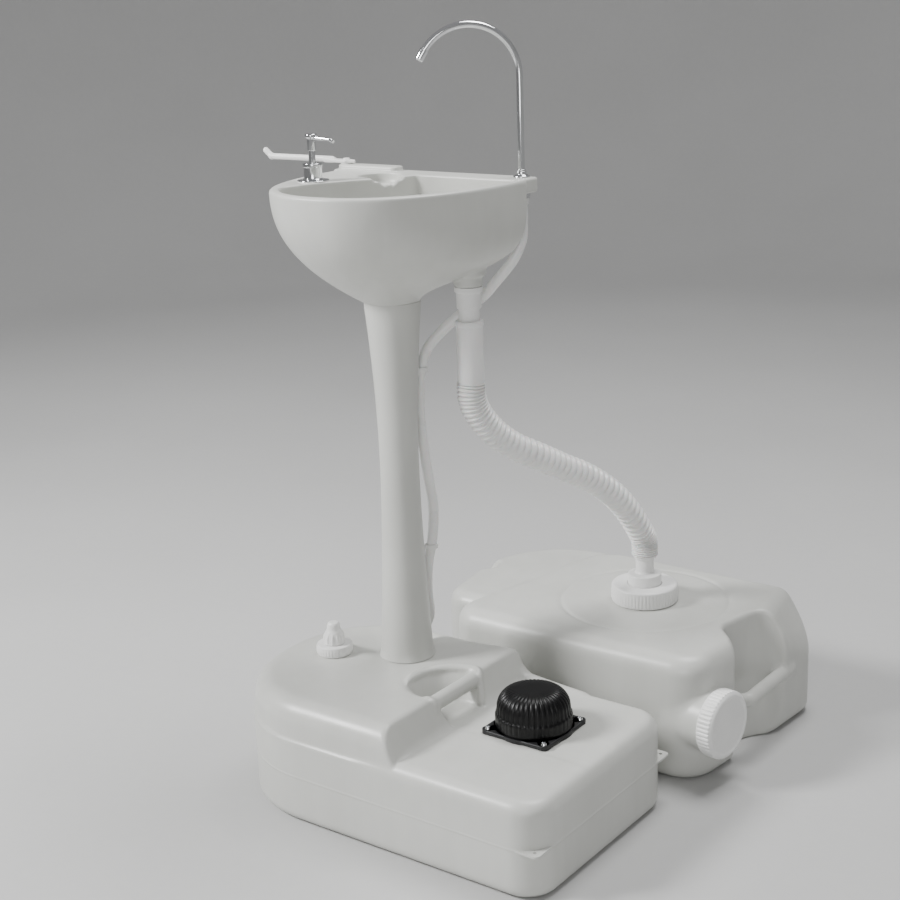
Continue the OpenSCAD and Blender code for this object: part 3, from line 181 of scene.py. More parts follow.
def swept(path, radii, side, cols=32):
    """A round section of the given radius at each point of a path. The section's first
    direction is side made square to the path, and both ends close in a point."""
    path = np.asarray(path, float)
    radii = np.broadcast_to(np.asarray(radii, float), (len(path),))
    along = unit(np.gradient(path, axis=0))
    first = np.asarray(side, float) - (along @ np.asarray(side, float))[:, None] * along
    first = unit(first)
    second = np.cross(along, first)
    angle = np.arange(cols) * TAU / cols
    ring = (np.cos(angle)[None, :, None] * first[:, None]
            + np.sin(angle)[None, :, None] * second[:, None])
    points = path[:, None] + radii[:, None, None] * ring
    ends = [np.repeat(path[i][None, None], cols, 1) for i in (0, -1)]
    points = np.concatenate([ends[0], points, ends[1]])
    return joined(points.reshape(-1, 3), grid_faces(len(points), cols))


# Forms given by a distance: negative inside, zero on the surface

def round_max(a, b, r):
    """What two forms share, with the edge between them rounded to radius r."""
    return (np.minimum(np.maximum(a, b), -r)
            + np.hypot(np.maximum(a + r, 0), np.maximum(b + r, 0)))


def round_min(a, b, r):
    """Two forms together, with the corner between them filled to radius r."""
    return (np.maximum(np.minimum(a, b), r)
            - np.hypot(np.maximum(r - a, 0), np.maximum(r - b, 0)))


def upright(plan, z, low, high, r_low, r_high):
    """A plan drawn up from low to high, with its two edges rounded."""
    edge = np.where(z > (low + high) / 2, r_high, r_low)
    return round_max(plan, np.maximum(low - z, z - high), edge)


def rod(x, y, z, a, b, r):
    """A round bar of radius r from a to b, closed by half balls."""
    a, way = np.array(a, float), np.array(b, float) - np.array(a, float)
    t = ((x - a[0]) * way[0] + (y - a[1]) * way[1] + (z - a[2]) * way[2]) / (way @ way)
    t = np.clip(t, 0, 1)
    return np.sqrt((x - a[0] - t * way[0]) ** 2 + (y - a[1] - t * way[1]) ** 2
                   + (z - a[2] - t * way[2]) ** 2) - r


def taut_loop(x, y, circles):
    """Distance past a taut loop round some circles: the largest, over 240 directions, of a
    point's reach less the loop's reach."""
    d = None
    for t in np.arange(240) * TAU / 240:
        c, s = np.cos(t), np.sin(t)
        past = x * c + y * s - max(cx * c + cy * s + r for cx, cy, r in circles)
        d = past if d is None else np.maximum(d, past)
    return d


def knots(low, high, cell, fine=()):
    """Grid lines every cell from low to high, and every fine cell near each (at, reach, cell)."""
    lines = np.arange(low - 1.37 * cell, high + 2 * cell, cell)
    for at, reach, small in fine:
        lines = lines[np.abs(lines - at) > reach + small * 0.6]
        lines = np.concatenate([lines, np.arange(at - reach, at + reach + small / 2, small)])
    return np.sort(lines)


def skin_over(field, xs, ys, zs):
    """Closed mesh where field(x, y, z) is zero. Each grid cell that the surface crosses gets one
    point at the mean of the crossings on its edges, and each crossed grid edge joins its four
    cells. The points slide along the field's slope onto the surface, and are then drawn twice
    six tenths of the way to the mean of their neighbours, sliding back after each."""
    x, y, z = np.meshgrid(xs, ys, zs, indexing="ij", sparse=True)
    f = np.broadcast_to(field(x, y, z), (len(xs), len(ys), len(zs)))
    cells = tuple(n - 1 for n in f.shape)
    total = np.zeros(cells + (3,))
    count = np.zeros(cells)
    lines = (xs, ys, zs)
    for a in range(3):
        lo = np.moveaxis(f, a, 0)[:-1]
        hi = np.moveaxis(f, a, 0)[1:]
        cross = (lo < 0) != (hi < 0)
        share = np.where(cross, lo / np.where(cross, lo - hi, 1), 0)
        step = np.diff(lines[a]).reshape(-1, 1, 1)
        start = lines[a][:-1].reshape(-1, 1, 1)
        place = np.empty(cross.shape + (3,))
        rest = [k for k in range(3) if k != a]
        place[..., a] = start + share * step
        place[..., rest[0]] = lines[rest[0]].reshape(1, -1, 1)
        place[..., rest[1]] = lines[rest[1]].reshape(1, 1, -1)
        place *= cross[..., None]
        t = np.moveaxis(total, a, 0)
        n = np.moveaxis(count, a, 0)
        for i in (0, 1):
            for j in (0, 1):
                part = (slice(None), slice(i, cross.shape[1] - 1 + i),
                        slice(j, cross.shape[2] - 1 + j))
                t += place[part]
                n += cross[part]
    used = count > 0
    name = np.full(cells, -1)
    name[used] = np.arange(used.sum())
    points = total[used] / count[used][:, None]
    quads = []
    for a in range(3):
        b, c = (a + 1) % 3, (a + 2) % 3
        order = (a, b, c)
        g = np.transpose(f, order)
        ids = np.transpose(name, order)
        cross = (g[:-1, 1:-1, 1:-1] < 0) != (g[1:, 1:-1, 1:-1] < 0)
        rising = (g[1:, 1:-1, 1:-1] > 0)[cross]
        i, j, k = np.nonzero(cross)
        q = np.stack([ids[i, j, k], ids[i, j + 1, k], ids[i, j + 1, k + 1], ids[i, j, k + 1]], -1)
        q[~rising] = q[~rising][:, ::-1]
        quads.append(q)
    quads = np.concatenate(quads)
    points = settled(field, points, 2)
    for _ in range(2):
        total = np.zeros_like(points)
        count = np.zeros(len(points))
        for i in range(4):
            for j in (1, 3):
                for k in range(3):
                    total[:, k] += np.bincount(quads[:, i], points[quads[:, (i + j) % 4], k],
                                               len(points))
                count += np.bincount(quads[:, i], minlength=len(points))
        points = settled(field, 0.4 * points + 0.6 * total / count[:, None], 2)
    return points, quads


def settled(field, points, rounds):
    """Points moved along the field's slope by the field's value, as Newton's rule does."""
    e = 0.05
    for _ in range(rounds):
        x, y, z = points.T
        f = field(x, y, z)
        slope = np.stack([field(x + e, y, z) - f, field(x, y + e, z) - f,
                          field(x, y, z + e) - f], -1) / e
        step = (f / np.maximum((slope ** 2).sum(1), 0.05))[:, None] * slope
        far = np.maximum(np.linalg.norm(step, axis=1, keepdims=True), 1e-9)
        points = points - step * np.minimum(1, 1.2 / far)
    return points


# Finishes

def shader_group(name, inputs, outputs):
    """A node group with named inputs and outputs, and its two end nodes."""
    tree = bpy.data.node_groups.new(name, "ShaderNodeTree")
    for label, kind, value in inputs:
        tree.interface.new_socket(label, in_out="INPUT", socket_type=kind).default_value = value
    for label, kind in outputs:
        tree.interface.new_socket(label, in_out="OUTPUT", socket_type=kind)
    return tree, tree.nodes.new("NodeGroupInput"), tree.nodes.new("NodeGroupOutput")


def add(tree, kind, links=(), **values):
    """A node with its settings, its socket values and the links into it."""
    node = tree.nodes.new(kind)
    for key, value in values.items():
        setattr(node, key, value)
    for socket, source in links:
        if hasattr(source, "is_output"):
            tree.links.new(source, node.inputs[socket])
        else:
            node.inputs[socket].default_value = source
    return node


def moulded_skin():
    """Moulded plastic: slow clouding of the colour, a fine pebble and faint flow streaks."""
    tree, start, end = shader_group("moulded_skin", [
        ("Light", "NodeSocketColor", (0.8, 0.8, 0.78, 1)),
        ("Shade", "NodeSocketColor", (0.7, 0.7, 0.68, 1)),
        ("Cloud Scale", "NodeSocketFloat", 7.0),
        ("Pebble Scale", "NodeSocketFloat", 700.0),
        ("Smooth", "NodeSocketFloat", 0.34),
        ("Rough", "NodeSocketFloat", 0.46)],
        [("Color", "NodeSocketColor"), ("Roughness", "NodeSocketFloat"),
         ("Height", "NodeSocketFloat")])
    place = add(tree, "ShaderNodeTexCoord").outputs["Object"]
    cloud = add(tree, "ShaderNodeTexNoise", [("Vector", place), ("Scale", start.outputs[2]),
                                             ("Detail", 4.0), ("Roughness", 0.55)])
    drawn = add(tree, "ShaderNodeMapping", [("Vector", place), ("Scale", (1, 1, 0.12))])
    streak = add(tree, "ShaderNodeTexNoise", [("Vector", drawn.outputs[0]), ("Scale", 55.0),
                                              ("Detail", 3.0)])
    both = add(tree, "ShaderNodeMix", [(0, 0.25), (2, cloud.outputs[0]),
                                       (3, streak.outputs[0])], data_type="FLOAT")
    spread = add(tree, "ShaderNodeMapRange", [(0, both.outputs[0]), (1, 0.35), (2, 0.65)])
    tint = add(tree, "ShaderNodeMix", [(0, spread.outputs[0]), (6, start.outputs[1]),
                                       (7, start.outputs[0])], data_type="RGBA")
    pebble = add(tree, "ShaderNodeTexNoise", [("Vector", place), ("Scale", start.outputs[3]),
                                              ("Detail", 2.0)])
    gloss = add(tree, "ShaderNodeMapRange", [(0, cloud.outputs[0]), (1, 0.3), (2, 0.7),
                                             (3, start.outputs[4]), (4, start.outputs[5])])
    tree.links.new(tint.outputs[2], end.inputs[0])
    tree.links.new(gloss.outputs[0], end.inputs[1])
    tree.links.new(pebble.outputs[0], end.inputs[2])
    return tree


SKIN = moulded_skin()


def moulded(name, light, shade, smooth, rough, pebble=700.0, depth=0.00012, cloud=7.0,
            metallic=0.0, sub=0.0, gleam=0.5):
    """A material with the moulded skin, at its own colours, gloss and pebble."""
    mat = bpy.data.materials.new(name)
    mat.use_nodes = True
    tree = mat.node_tree
    shader = tree.nodes["Principled BSDF"]
    shader.inputs["Metallic"].default_value = metallic
    shader.inputs["Subsurface Weight"].default_value = sub
    shader.inputs["Subsurface Scale"].default_value = 0.004
    shader.inputs["Specular IOR Level"].default_value = gleam
    skin = add(tree, "ShaderNodeGroup", node_tree=SKIN)
    for socket, value in zip(skin.inputs, ((*light, 1), (*shade, 1), cloud, pebble, smooth,
                                           rough)):
        socket.default_value = value
    bump = add(tree, "ShaderNodeBump", [("Height", skin.outputs[2]), ("Strength", 0.5),
                                        ("Distance", depth)])
    tree.links.new(skin.outputs[0], shader.inputs["Base Color"])
    tree.links.new(skin.outputs[1], shader.inputs["Roughness"])
    tree.links.new(bump.outputs[0], shader.inputs["Normal"])
    mat.diffuse_color = (*light, 1)
    return mat


tank_white = moulded("tank_white", (0.60, 0.605, 0.575), (0.545, 0.55, 0.52), 0.29, 0.4)
bright_white = moulded("bright_white", (0.86, 0.86, 0.845), (0.80, 0.80, 0.785), 0.3, 0.4,
                       pebble=1200.0, depth=0.00006, cloud=18.0)
hose_white = moulded("hose_white", (0.87, 0.87, 0.855), (0.80, 0.80, 0.79), 0.26, 0.36,
                     pebble=900.0, depth=0.00006, cloud=25.0, sub=0.1)
dome_rubber = moulded("dome_rubber", (0.003, 0.003, 0.0032), (0.0015, 0.0015, 0.0017), 0.3, 0.42,
                      pebble=500.0, depth=0.0001, cloud=30.0, gleam=0.28)
plate_rubber = moulded("plate_rubber", (0.008, 0.008, 0.009), (0.004, 0.004, 0.005), 0.42, 0.55,
                       pebble=600.0, cloud=30.0)
chrome = moulded("chrome", (0.83, 0.84, 0.85), (0.76, 0.77, 0.78), 0.05, 0.1, pebble=300.0,
                 depth=0.00001, cloud=40.0, metallic=1.0)
spring_steel = moulded("spring_steel", (0.55, 0.55, 0.55), (0.45, 0.45, 0.45), 0.25, 0.35,
                       pebble=900.0, depth=0.00003, cloud=60.0, metallic=1.0)
FINISHES = {"tank_plastic": tank_white, "white_plastic": bright_white,
            "black_rubber": plate_rubber, "bright_chrome": chrome, "spring_steel": spring_steel}
for entry in frame["record"]["subparts"]:
    solid = frame["nodes"][entry["node"]]
    solid.data.materials.clear()
    solid.data.materials.append(FINISHES[entry["material_slot"]])


# Places of the main pieces

PUMP = (141, 26)
FILLER = (-180, 6)
COLUMN = (-90, 57)
HOSE_OUTLET = (-100, 105)
DRAIN = (-8, 115)
MOUTH = (102, 385)
SOAP = (-204, 44, 0)
DRAIN_AXIS = (*DRAIN, 0)
MOUTH_AXIS = (*MOUTH, 0)
FILLER_AXIS = (*FILLER, 0)


# Hoses, along the same points as the solids

DRAIN_ROUTE = [(-8, 115, 558), (-8, 115, 539.5), (-5, 121, 518), (5, 138, 489.9),
               (20, 166, 461.9), (38, 205, 437.9), (52, 243, 415.1), (66, 285, 391.1),
               (80, 322, 362.1), (91, 353, 327), (99, 377, 289.1), (101.7, 383.8, 274.6),
               (102, 385, 264), (102, 385, 250)]
SUPPLY_ROUTE = [(35, 181, 782), (35, 181, 766), (34, 180, 742.1), (27, 173, 718.8),
                (16, 164, 700.1), (4, 156, 683.8), (-9, 150, 668), (-38.6, 126.1, 638.8),
                (-57, 107.8, 616.6), (-68.5, 98.5, 597.5), (-76, 95, 572), (-80, 94, 540),
                (-80, 95, 500), (-78, 98, 455), (-75, 102, 414), (-72, 105, 380),
                (-73, 105, 347.8), (-77, 104, 318), (-84, 104, 288.1), (-89, 107, 250),
                (-90, 111, 210), (-100, 105, 184), (-100, 105, 179)]
HOSE_RIBS = 58


def ribbed_hose():
    """The drain hose: radius 15.6 in the grooves and 19.6 on each rib, where the rib is the
    cosine of the rib count times the share of the route, widened so the grooves are narrow."""
    count = HOSE_RIBS * 10 + 1
    path = route_points(DRAIN_ROUTE, count)
    share = np.linspace(0, 1, count)
    wave = 0.5 + 0.5 * np.cos(TAU * HOSE_RIBS * (share + 0.5 / HOSE_RIBS))
    radius = 15.6 + 4 * wave ** 0.6 * ramp(share, 0, 0.012) * ramp(1 - share, 0, 0.012)
    points, faces = swept(path, radius, (1, 0, 0), 48)
    hose = piece("ribbed_drain_hose", points, faces, "stand", hose_white,
                 ["drain_hose"])


def supply_line():
    """The supply hose: one round section of radius 7 along its route."""
    path = route_points(SUPPLY_ROUTE, 260)
    points, faces = swept(path, 7, (1, 0, 0), 28)
    hose = piece("supply_line", points, faces, "stand", hose_white,
                 ["supply_hose"])


ribbed_hose()
supply_line()


# Fresh water tank

TANK_HALF_L = 267.5
TANK_HALF_W = 161.5
DECK_TOP = 129
RAISED_TOP = 170
STEP_X = 48
# Square to the step's leaning face
STEP_WAY = (0.899, 0.4386)
BEAD_Z = 117.5
PARTING_Z = 67.5
GRIP_X = 24
GRIP_Z = 158
GRIP_R = 10.5


def fresh_form(x, y, z):
    """A deck block with round plan corners, and a raised block above its left half whose end
    leans back as the step. A bead rings their seam. A widening cone stretched along +X is taken
    out of the step as the hand hole, a bar crosses it, and a bead follows its far lip down to
    the deck. A sphere presses the valley, a low rail follows the deck's far edge, collars stand
    round column, filler and hose outlet, and a fine line marks the mould's parting."""
    corner = np.where(x > 0, 44.0, 149.0)
    plan = round_max(np.abs(x) - TANK_HALF_L, np.abs(y) - TANK_HALF_W, corner)
    right_half = ramp(x, -40, 44)
    deck = upright(plan, z, 0, 118 + 11 * right_half, 15, 3 + 15 * right_half)
    edge = 28 - 16 * ramp(x, -60, 30) * ramp(y, -150, 20)
    raised = upright(plan + 3 + 1.5 * ramp(x, -200, 20), z, 60, RAISED_TOP, 1, edge)
    step = (x - STEP_X) * STEP_WAY[0] + (z - DECK_TOP) * STEP_WAY[1]
    raised = round_max(raised, step, 5)
    tank = round_min(deck, raised, 0.8 + 9 * ramp(-plan, 6, 42))
    tank = tank - 1.5 * np.exp(-((z - BEAD_Z) / 1.6) ** 2) * (1 - ramp(x, -60, 40))
    rise = z - 130
    middle = 4.5 + 0.1375 * rise
    along = np.minimum(x - 27 + 9 * ramp(middle - y, -10, 50), 0) * (1 - 0.0035 * rise)
    cone = (np.hypot(along, y - middle) - 35.5 - 0.4125 * rise) * 0.9
    pit = round_max(cone, 129.2 - z, 2.5)
    tank = round_max(tank, -pit, 3 + 5 * ramp(-y, 5, 25) * ramp(-x, -30, -10))
    bead = 4.2 * ramp(y, -34, 4) * ramp(z, 128, 136)
    tank = round_min(tank, np.hypot(cone - 1, raised) - bead, 3)
    bar = np.maximum(np.hypot((x - GRIP_X) * 0.95, z - GRIP_Z) - GRIP_R, np.abs(y - 9) - 52)
    tank = round_min(tank, bar, 2 + 5 * ramp(-y, 15, 42))
    valley = np.sqrt((x + 130) ** 2 + (y - 84) ** 2 + (z - 248) ** 2) - 90
    tank = round_max(tank, -valley, 14)
    rail = rod(x, y, z, (25, 148, 131), (135, 150, 117), 10)
    tank = round_min(tank, rail, 10)
    for (cx, cy), r, low, high in ((COLUMN, 38.5, 150, RAISED_TOP), (FILLER, 20.5, 150, 180),
                                   (HOSE_OUTLET, 11, 150, 171)):
        tank = round_min(tank, upright(np.hypot(x - cx, y - cy) - r, z, low, high, 1, 1.5), 2.5)
    return tank - 0.6 * np.exp(-((z - PARTING_Z) / 1.1) ** 2)


def corner_ear(name, side):
    """A plate 3 thick over the plan corner, with a rounded tip and a 5 mm hole: rings of points
    run from the hole's edge to the outline, above and below."""
    cols = 96
    angle = np.arange(cols) * TAU / cols
    tip = np.array([258.5, 152.5 * side])
    way = np.stack([np.cos(angle), np.sin(angle)], -1)
    reach_x = np.where(way[:, 0] > 0, 9.0, 36.0)
    reach_y = np.where(way[:, 1] * side > 0, 9.0, 36.0)
    outer = 1 / (np.abs(way[:, 0] / reach_x) ** 3 + np.abs(way[:, 1] / reach_y) ** 3) ** (1 / 3)
    rows = [(0, 66), (1, 66), (1.02, 66.5), (1.02, 68.5), (1, 69), (0, 69), (0, 66)]
    points = []
    for share, z in rows:
        radius = 2.5 + (outer - 2.5) * share
        points.append(np.column_stack([tip + way * radius[:, None], np.full(cols, z)]))
    points = np.concatenate(points)
    points, faces = joined(points, grid_faces(len(rows), cols))
    piece(name, points, faces, "stand", tank_white, crease=40)


points, quads = skin_over(fresh_form, knots(-268, 268, 3.3), knots(-162, 162, 3.3),
                          knots(0, 181, 3.3, [(PARTING_Z, 3, 1)]))
piece("fresh_water_tank", points, quads, "stand", tank_white, ["fresh_tank"])
corner_ear("near_ear", -1)
corner_ear("far_ear", 1)


# Waste water tank

SPOUT = np.array([235.5, 251.0, 87.0])
SPOUT_WAY = np.array([np.cos(np.radians(6)), -np.sin(np.radians(6)), 0.0])
MAIN_LOOP = [(-88, 247, 42), (236, 260, 52), (268, 497, 43), (190, 503, 37), (-15, 485, 55)]
LOBE_LOOP = [(-143, 300, 40), (-58, 404, 140), (-15, 315, 40), (25, 480, 60)]
WASTE_TOP = 180
LOBE_TOP = 178
# Where the hand bay's inner and near walls meet at the top
BAY_CORNER = (243.7, 353.6)
# Ends and bends of the carrying bar
BAR = [(270, 314, 88), (293, 319, 88), (301, 332, 88), (301, 455, 88)]
BAR_R = 10


def waste_form(x, y, z):
    """A main block and a lobe at its left end, each a taut loop drawn up. The far right corner
    slopes down. The hand bay in the right end is what its inner, near and far walls share, with
    the inner and far ones drawn in towards the foot, and a bent bar crosses it. A sphere cuts
    the notch at the left, and the mouth's collar, a ring groove and the spout's neck follow."""
    top_edge = 26 - 14 * ramp(y, 390, 470)
    main = upright(taut_loop(x, y, MAIN_LOOP), z, 0, WASTE_TOP, 18, top_edge)
    slope = 0.8106 * x + 0.1702 * y + 0.5603 * z - 401.6
    main = round_max(main, slope, 11)
    lobe = upright(taut_loop(x, y, LOBE_LOOP), z, 0, LOBE_TOP, 18, 20)
    tank = round_min(main, lobe, 2)
    across, along = x - BAY_CORNER[0], y - BAY_CORNER[1]
    inner = 0.196 * along - 0.98 * across + 0.117 * (WASTE_TOP - z)
    near = -0.714 * across - 0.7 * along
    far = 0.707 * (y - x) - 123 + 0.249 * (WASTE_TOP - z)
    bay = round_max(round_max(inner, near, 12), round_max(y - 440, far, 14), 12)
    tank = round_max(tank, -bay, 6)
    bar = rod(x, y, z, BAR[0], BAR[1], BAR_R)
    for start, end in zip(BAR[1:], BAR[2:]):
        bar = round_min(bar, rod(x, y, z, start, end, BAR_R), 2)
    tank = round_min(tank, bar, 3 + 3 * ramp(y, 400, 440))
    notch = np.sqrt((x + 195) ** 2 + (y - 393) ** 2 + (z - 178) ** 2) - 24
    tank = round_max(tank, -notch, 5)
    rho = np.hypot(x - MOUTH[0], y - MOUTH[1])
    tank = round_min(tank, upright(rho - 44, z, 150, 197, 1, 1), 3)
    groove = 1.5 * np.exp(-((rho - 124) / 3.4) ** 2) * ramp(z, 150, 160)
    along = (x - SPOUT[0]) * SPOUT_WAY[0] + (y - SPOUT[1]) * SPOUT_WAY[1]
    aside = np.hypot((y - SPOUT[1]) * SPOUT_WAY[0] - (x - SPOUT[0]) * SPOUT_WAY[1], z - SPOUT[2])
    neck = round_max(aside - 43, np.abs(along - 36) - 36, 1.5)
    return round_min(tank, neck, 5) + groove


points, quads = skin_over(waste_form, knots(-196, 322, 3.4), knots(204, 541, 3.4),
                          knots(0, 198, 3.4))
piece("waste_water_tank", points, quads, "stand", tank_white, ["waste_tank"])


# Basin

RIM = 823
SHELL_LOW = 670.5
BOWL_FLOOR = 724
# Middle of the basin's plan, and the line of its back
PLAN_X = -99
BACK_Y = 165
TRAY = (-160, 130)
TRAY_R = 28


def plan_table(about, inset, limit=None):
    """Radius of the basin's plan about a point, as a table over the angle: a superellipse of
    power 2.3 to the front, closed by a straight back with round corners."""
    t = np.linspace(0, np.pi, 400)
    a, b = 158 - inset, 243 - inset
    front = np.stack([PLAN_X + a * np.sign(np.cos(t)) * np.abs(np.cos(t)) ** (2 / 2.3),
                      153 - b * np.sin(t) ** (2 / 2.3)], -1)
    q = np.linspace(0, np.pi / 2, 20)
    left = np.stack([PLAN_X - a + 12 * (1 - np.cos(q)), 153 + (12 - inset) * np.sin(q)], -1)
    back = np.stack([np.linspace(-87 - a, -111 + a, 200), np.full(200, float(BACK_Y - inset))], -1)
    loop = np.concatenate([front, left, back, (left * [-1, 1] + [-198, 0])[::-1]])
    if limit is not None:
        v = loop - limit[0]
        far = np.hypot(v[:, 0], v[:, 1])
        angle = np.degrees(np.arctan2(v[:, 1], v[:, 0])) % 360
        reach = np.minimum(far, 84 + 0.021 * (angle - 150) ** 2)
        loop = limit[0] + v * (reach / far)[:, None]
    v = loop - about
    order = np.argsort(np.arctan2(v[:, 1], v[:, 0]))
    angle = np.arctan2(v[:, 1], v[:, 0])[order]
    even = np.linspace(-np.pi, np.pi, 721)
    radius = np.interp(even, angle, np.hypot(v[:, 0], v[:, 1])[order], period=TAU)
    soft = np.convolve(np.concatenate([radius[-13:-1], radius, radius[1:13]]),
                       np.hanning(13) / np.hanning(13).sum(), "same")[12:-12]
    return even, soft


SHELL = plan_table(np.array(COLUMN), 0)
BOWL = plan_table(np.array(DRAIN), 13, [np.array([-60, 70])])


def vessel_side(x, y, z, about, table, least, low, deep, power, lift):
    """Distance from a wall that widens with height about an upright axis: its radius is least
    plus the plan's spare radius times (1 - (1 - h)^power)^lift, over the wall's slope. Given no
    power, power and lift grow with the cosine of the angle from the belly's fullest side."""
    angle = np.arctan2(y - about[1], x - about[0])
    spare = np.interp(angle, *table) - least
    h = np.clip((z - low) / deep, 1e-4, 1)
    if power is None:
        w = np.maximum(0, np.cos(angle - np.radians(36)))
        power, lift = 2.4 + 2.9 * w, 1.03 + 1.2 * w
    u = 1 - (1 - h) ** power
    slope = spare * lift * u ** (lift - 1) * power * (1 - h) ** (power - 1) / deep
    wall = np.hypot(x - about[0], y - about[1]) - least - spare * u ** lift
    return wall / np.sqrt(1 + slope ** 2)


def basin_form(x, y, z):
    """The shell less the bowl, joined to the back flange, the raised strip and the drain boss,
    less the soap tray and the lip that drains it into the bowl."""
    shell = vessel_side(x, y, z, COLUMN, SHELL, 37.5, SHELL_LOW, RIM - SHELL_LOW, None, None)
    tub = round_max(np.maximum(shell, SHELL_LOW - z), z - RIM, 4)
    from_drain = np.hypot(x - DRAIN[0], y - DRAIN[1])
    tub = round_min(tub, upright(from_drain - 18.9, z, 687, 722, 0.8, 1), 1)
    tub = round_min(tub, upright(from_drain - 24, z, 701, 722, 1.5, 1), 2.5)
    flange = round_max(np.abs(x + 107.5) - 162.5, np.abs(y - 176) - 18, 9)
    flange = upright(flange, z, 804, RIM, 3, 3)
    tub = round_min(tub, flange, 0.3 + 4 * ramp(RIM - z, 1.5, 9))
    strip = round_max(np.abs(x + 216.5) - 51.5, np.abs(y - 180) - 12, 8)
    tub = round_min(tub, upright(strip, z, 810, 829, 1, 2.5), 2)
    bowl = vessel_side(x, y, z, DRAIN, BOWL, 24, BOWL_FLOOR, RIM - BOWL_FLOOR, 3.2, 0.8)
    bowl = round_max(bowl, BOWL_FLOOR - z, 6)
    tub = round_max(tub, -bowl, 2.4)
    u, v = x - TRAY[0], y - TRAY[1]
    tray = round_max(np.hypot(u, v) - TRAY_R, 809 - z, 5)
    tub = round_max(tub, -tray, 1.6)
    out = u * 0.866 - v * 0.5
    aside = u * 0.5 + v * 0.866
    lip = np.hypot(aside, z - 843) - 30 + 1.3 * np.cos(aside * TAU / 14)
    lip = round_max(lip, np.abs(out - 30) - 30, 5)
    tub = round_max(tub, -lip, 2)
    return np.maximum(tub, -np.maximum(from_drain - 17, 714 - z))


points, quads = skin_over(basin_form, knots(-271, 61, 2.7), knots(-91, 195, 2.7),
                          knots(SHELL_LOW, 829, 2.7, [(RIM, 3, 1.2)]))
piece("basin_vessel", points, quads, "stand", tank_white, ["basin"])


# Column

COLUMN_FOOT = 170
COLUMN_TOP = 664
WAIST_SHARE = 0.57
WAIST_R = 26.5


def column_radius(z):
    """Two power curves that meet in the waist: 26.5 there, 37 at the foot, 37.5 at the head. A
    small flare rings the foot."""
    t = (z - COLUMN_FOOT) / (COLUMN_TOP - COLUMN_FOOT)
    low = np.clip(1 - t / WAIST_SHARE, 0, 1)
    high = np.clip((t - WAIST_SHARE) / 0.43, 0, 1)
    return WAIST_R + 10.5 * low ** 1.7 + 11 * high ** 1.9 + 2.4 * ramp(178 - z, 0, 4.5)


heights = np.concatenate([[170, 170, 170.9], np.linspace(171.5, 663.5, 100), [666, 671, 671]])
radii = column_radius(np.minimum(heights, COLUMN_TOP))
radii[[0, -1]] = 0
radii[1] -= 4
radii[2] -= 3.2
radii[3] -= 0.5
points, faces = joined(*turned_profile(np.stack([radii, heights], -1), (*COLUMN, 0), 112))
piece("waisted_column", points, faces, "stand", tank_white, ["column"], 50)


# Foot pump

PLATE_LOW = 129.05
PLATE_TOP = 134.5
# From the pump's middle to each screw, along X and along Y
SCREW_REACH = 43.5


def plate_form(x, y, z):
    """A taut loop round the dome's foot and the four screws, drawn up to the plate's height."""
    sides = (-SCREW_REACH, SCREW_REACH)
    ears = [(PUMP[0] + u, PUMP[1] + v, 7.4) for u in sides for v in sides]
    return upright(taut_loop(x, y, [(*PUMP, 52)] + ears), z, PLATE_LOW, PLATE_TOP, 0.6, 1.4)


points, quads = skin_over(plate_form, knots(88, 194, 1.7),
                          knots(-27, 79, 1.7), knots(PLATE_LOW, PLATE_TOP, 1.1))
piece("pump_plate", points, quads, "stand", plate_rubber)

FLUTES = 40


def dome_flutes(radius, height, angle):
    """Narrow grooves down the crown, 1.8 deep, that fade to the middle and, below the ledge, to
    a third of their depth down the skirt."""
    groove = (0.5 + 0.5 * np.cos(FLUTES * angle)) ** 3
    depth = 1.8 * ramp(height, 136, 141) * ramp(radius, 14, 30)
    depth = depth * (0.35 + 0.65 * ramp(height, 151, 157))
    return -groove * depth


crown = np.radians(np.linspace(4, 84, 14))
dome_line = ([(0, 134.6), (50, 134.6), (51, 136), (51, 139)]
             + [(51, h) for h in np.linspace(141, 150.5, 5)]
             + [(50.6, 152.2), (49.7, 153.2), (49.3, 154.5), (49, 157), (48.6, 160)]
             + [(24 + 24.4 * np.cos(t) ** 0.9, 162 + 22.5 * np.sin(t) ** 1.08) for t in crown]
             + [(20, 184.8), (12, 185), (0, 185)])
dome = lathed("fluted_dome", dome_line, (*PUMP, 0), "stand", dome_rubber,
              ["pump_dome"], FLUTES * 8, wave=dome_flutes, crease=None)
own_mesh(dome)


def coil(name, node, centre, radius, wire, low, high, turns):
    """A wire spring: a circle that rises evenly, with a round section along it."""
    t = np.linspace(0, 1, turns * 28 + 1)
    path = np.stack([centre[0] + radius * np.cos(TAU * turns * t),
                     centre[1] + radius * np.sin(TAU * turns * t), low + (high - low) * t], -1)
    points, faces = swept(path, wire, (0, 0, 1), 12)
    spring = piece(name, points, faces, "stand", spring_steel, [node])
    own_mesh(spring)


coil("pump_return_spring", "pump_spring", PUMP, 17, 1.4, 101.2, 174.6, 5)
coil("soap_return_spring", "soap_spring", SOAP, 4, 0.7, 792.9, 812.1, 3)


# Tap

TAP = np.array([35.0, 181.0, 0.0])
TAP_WAY = np.array([np.cos(np.radians(223.3)), np.sin(np.radians(223.3)), 0.0])
TAP_SIDE = np.array([-TAP_WAY[1], TAP_WAY[0], 0.0])


BEND_Z = 952
BEND_R = 66
BEND_SWEEP = 148
TAP_R = 4.5


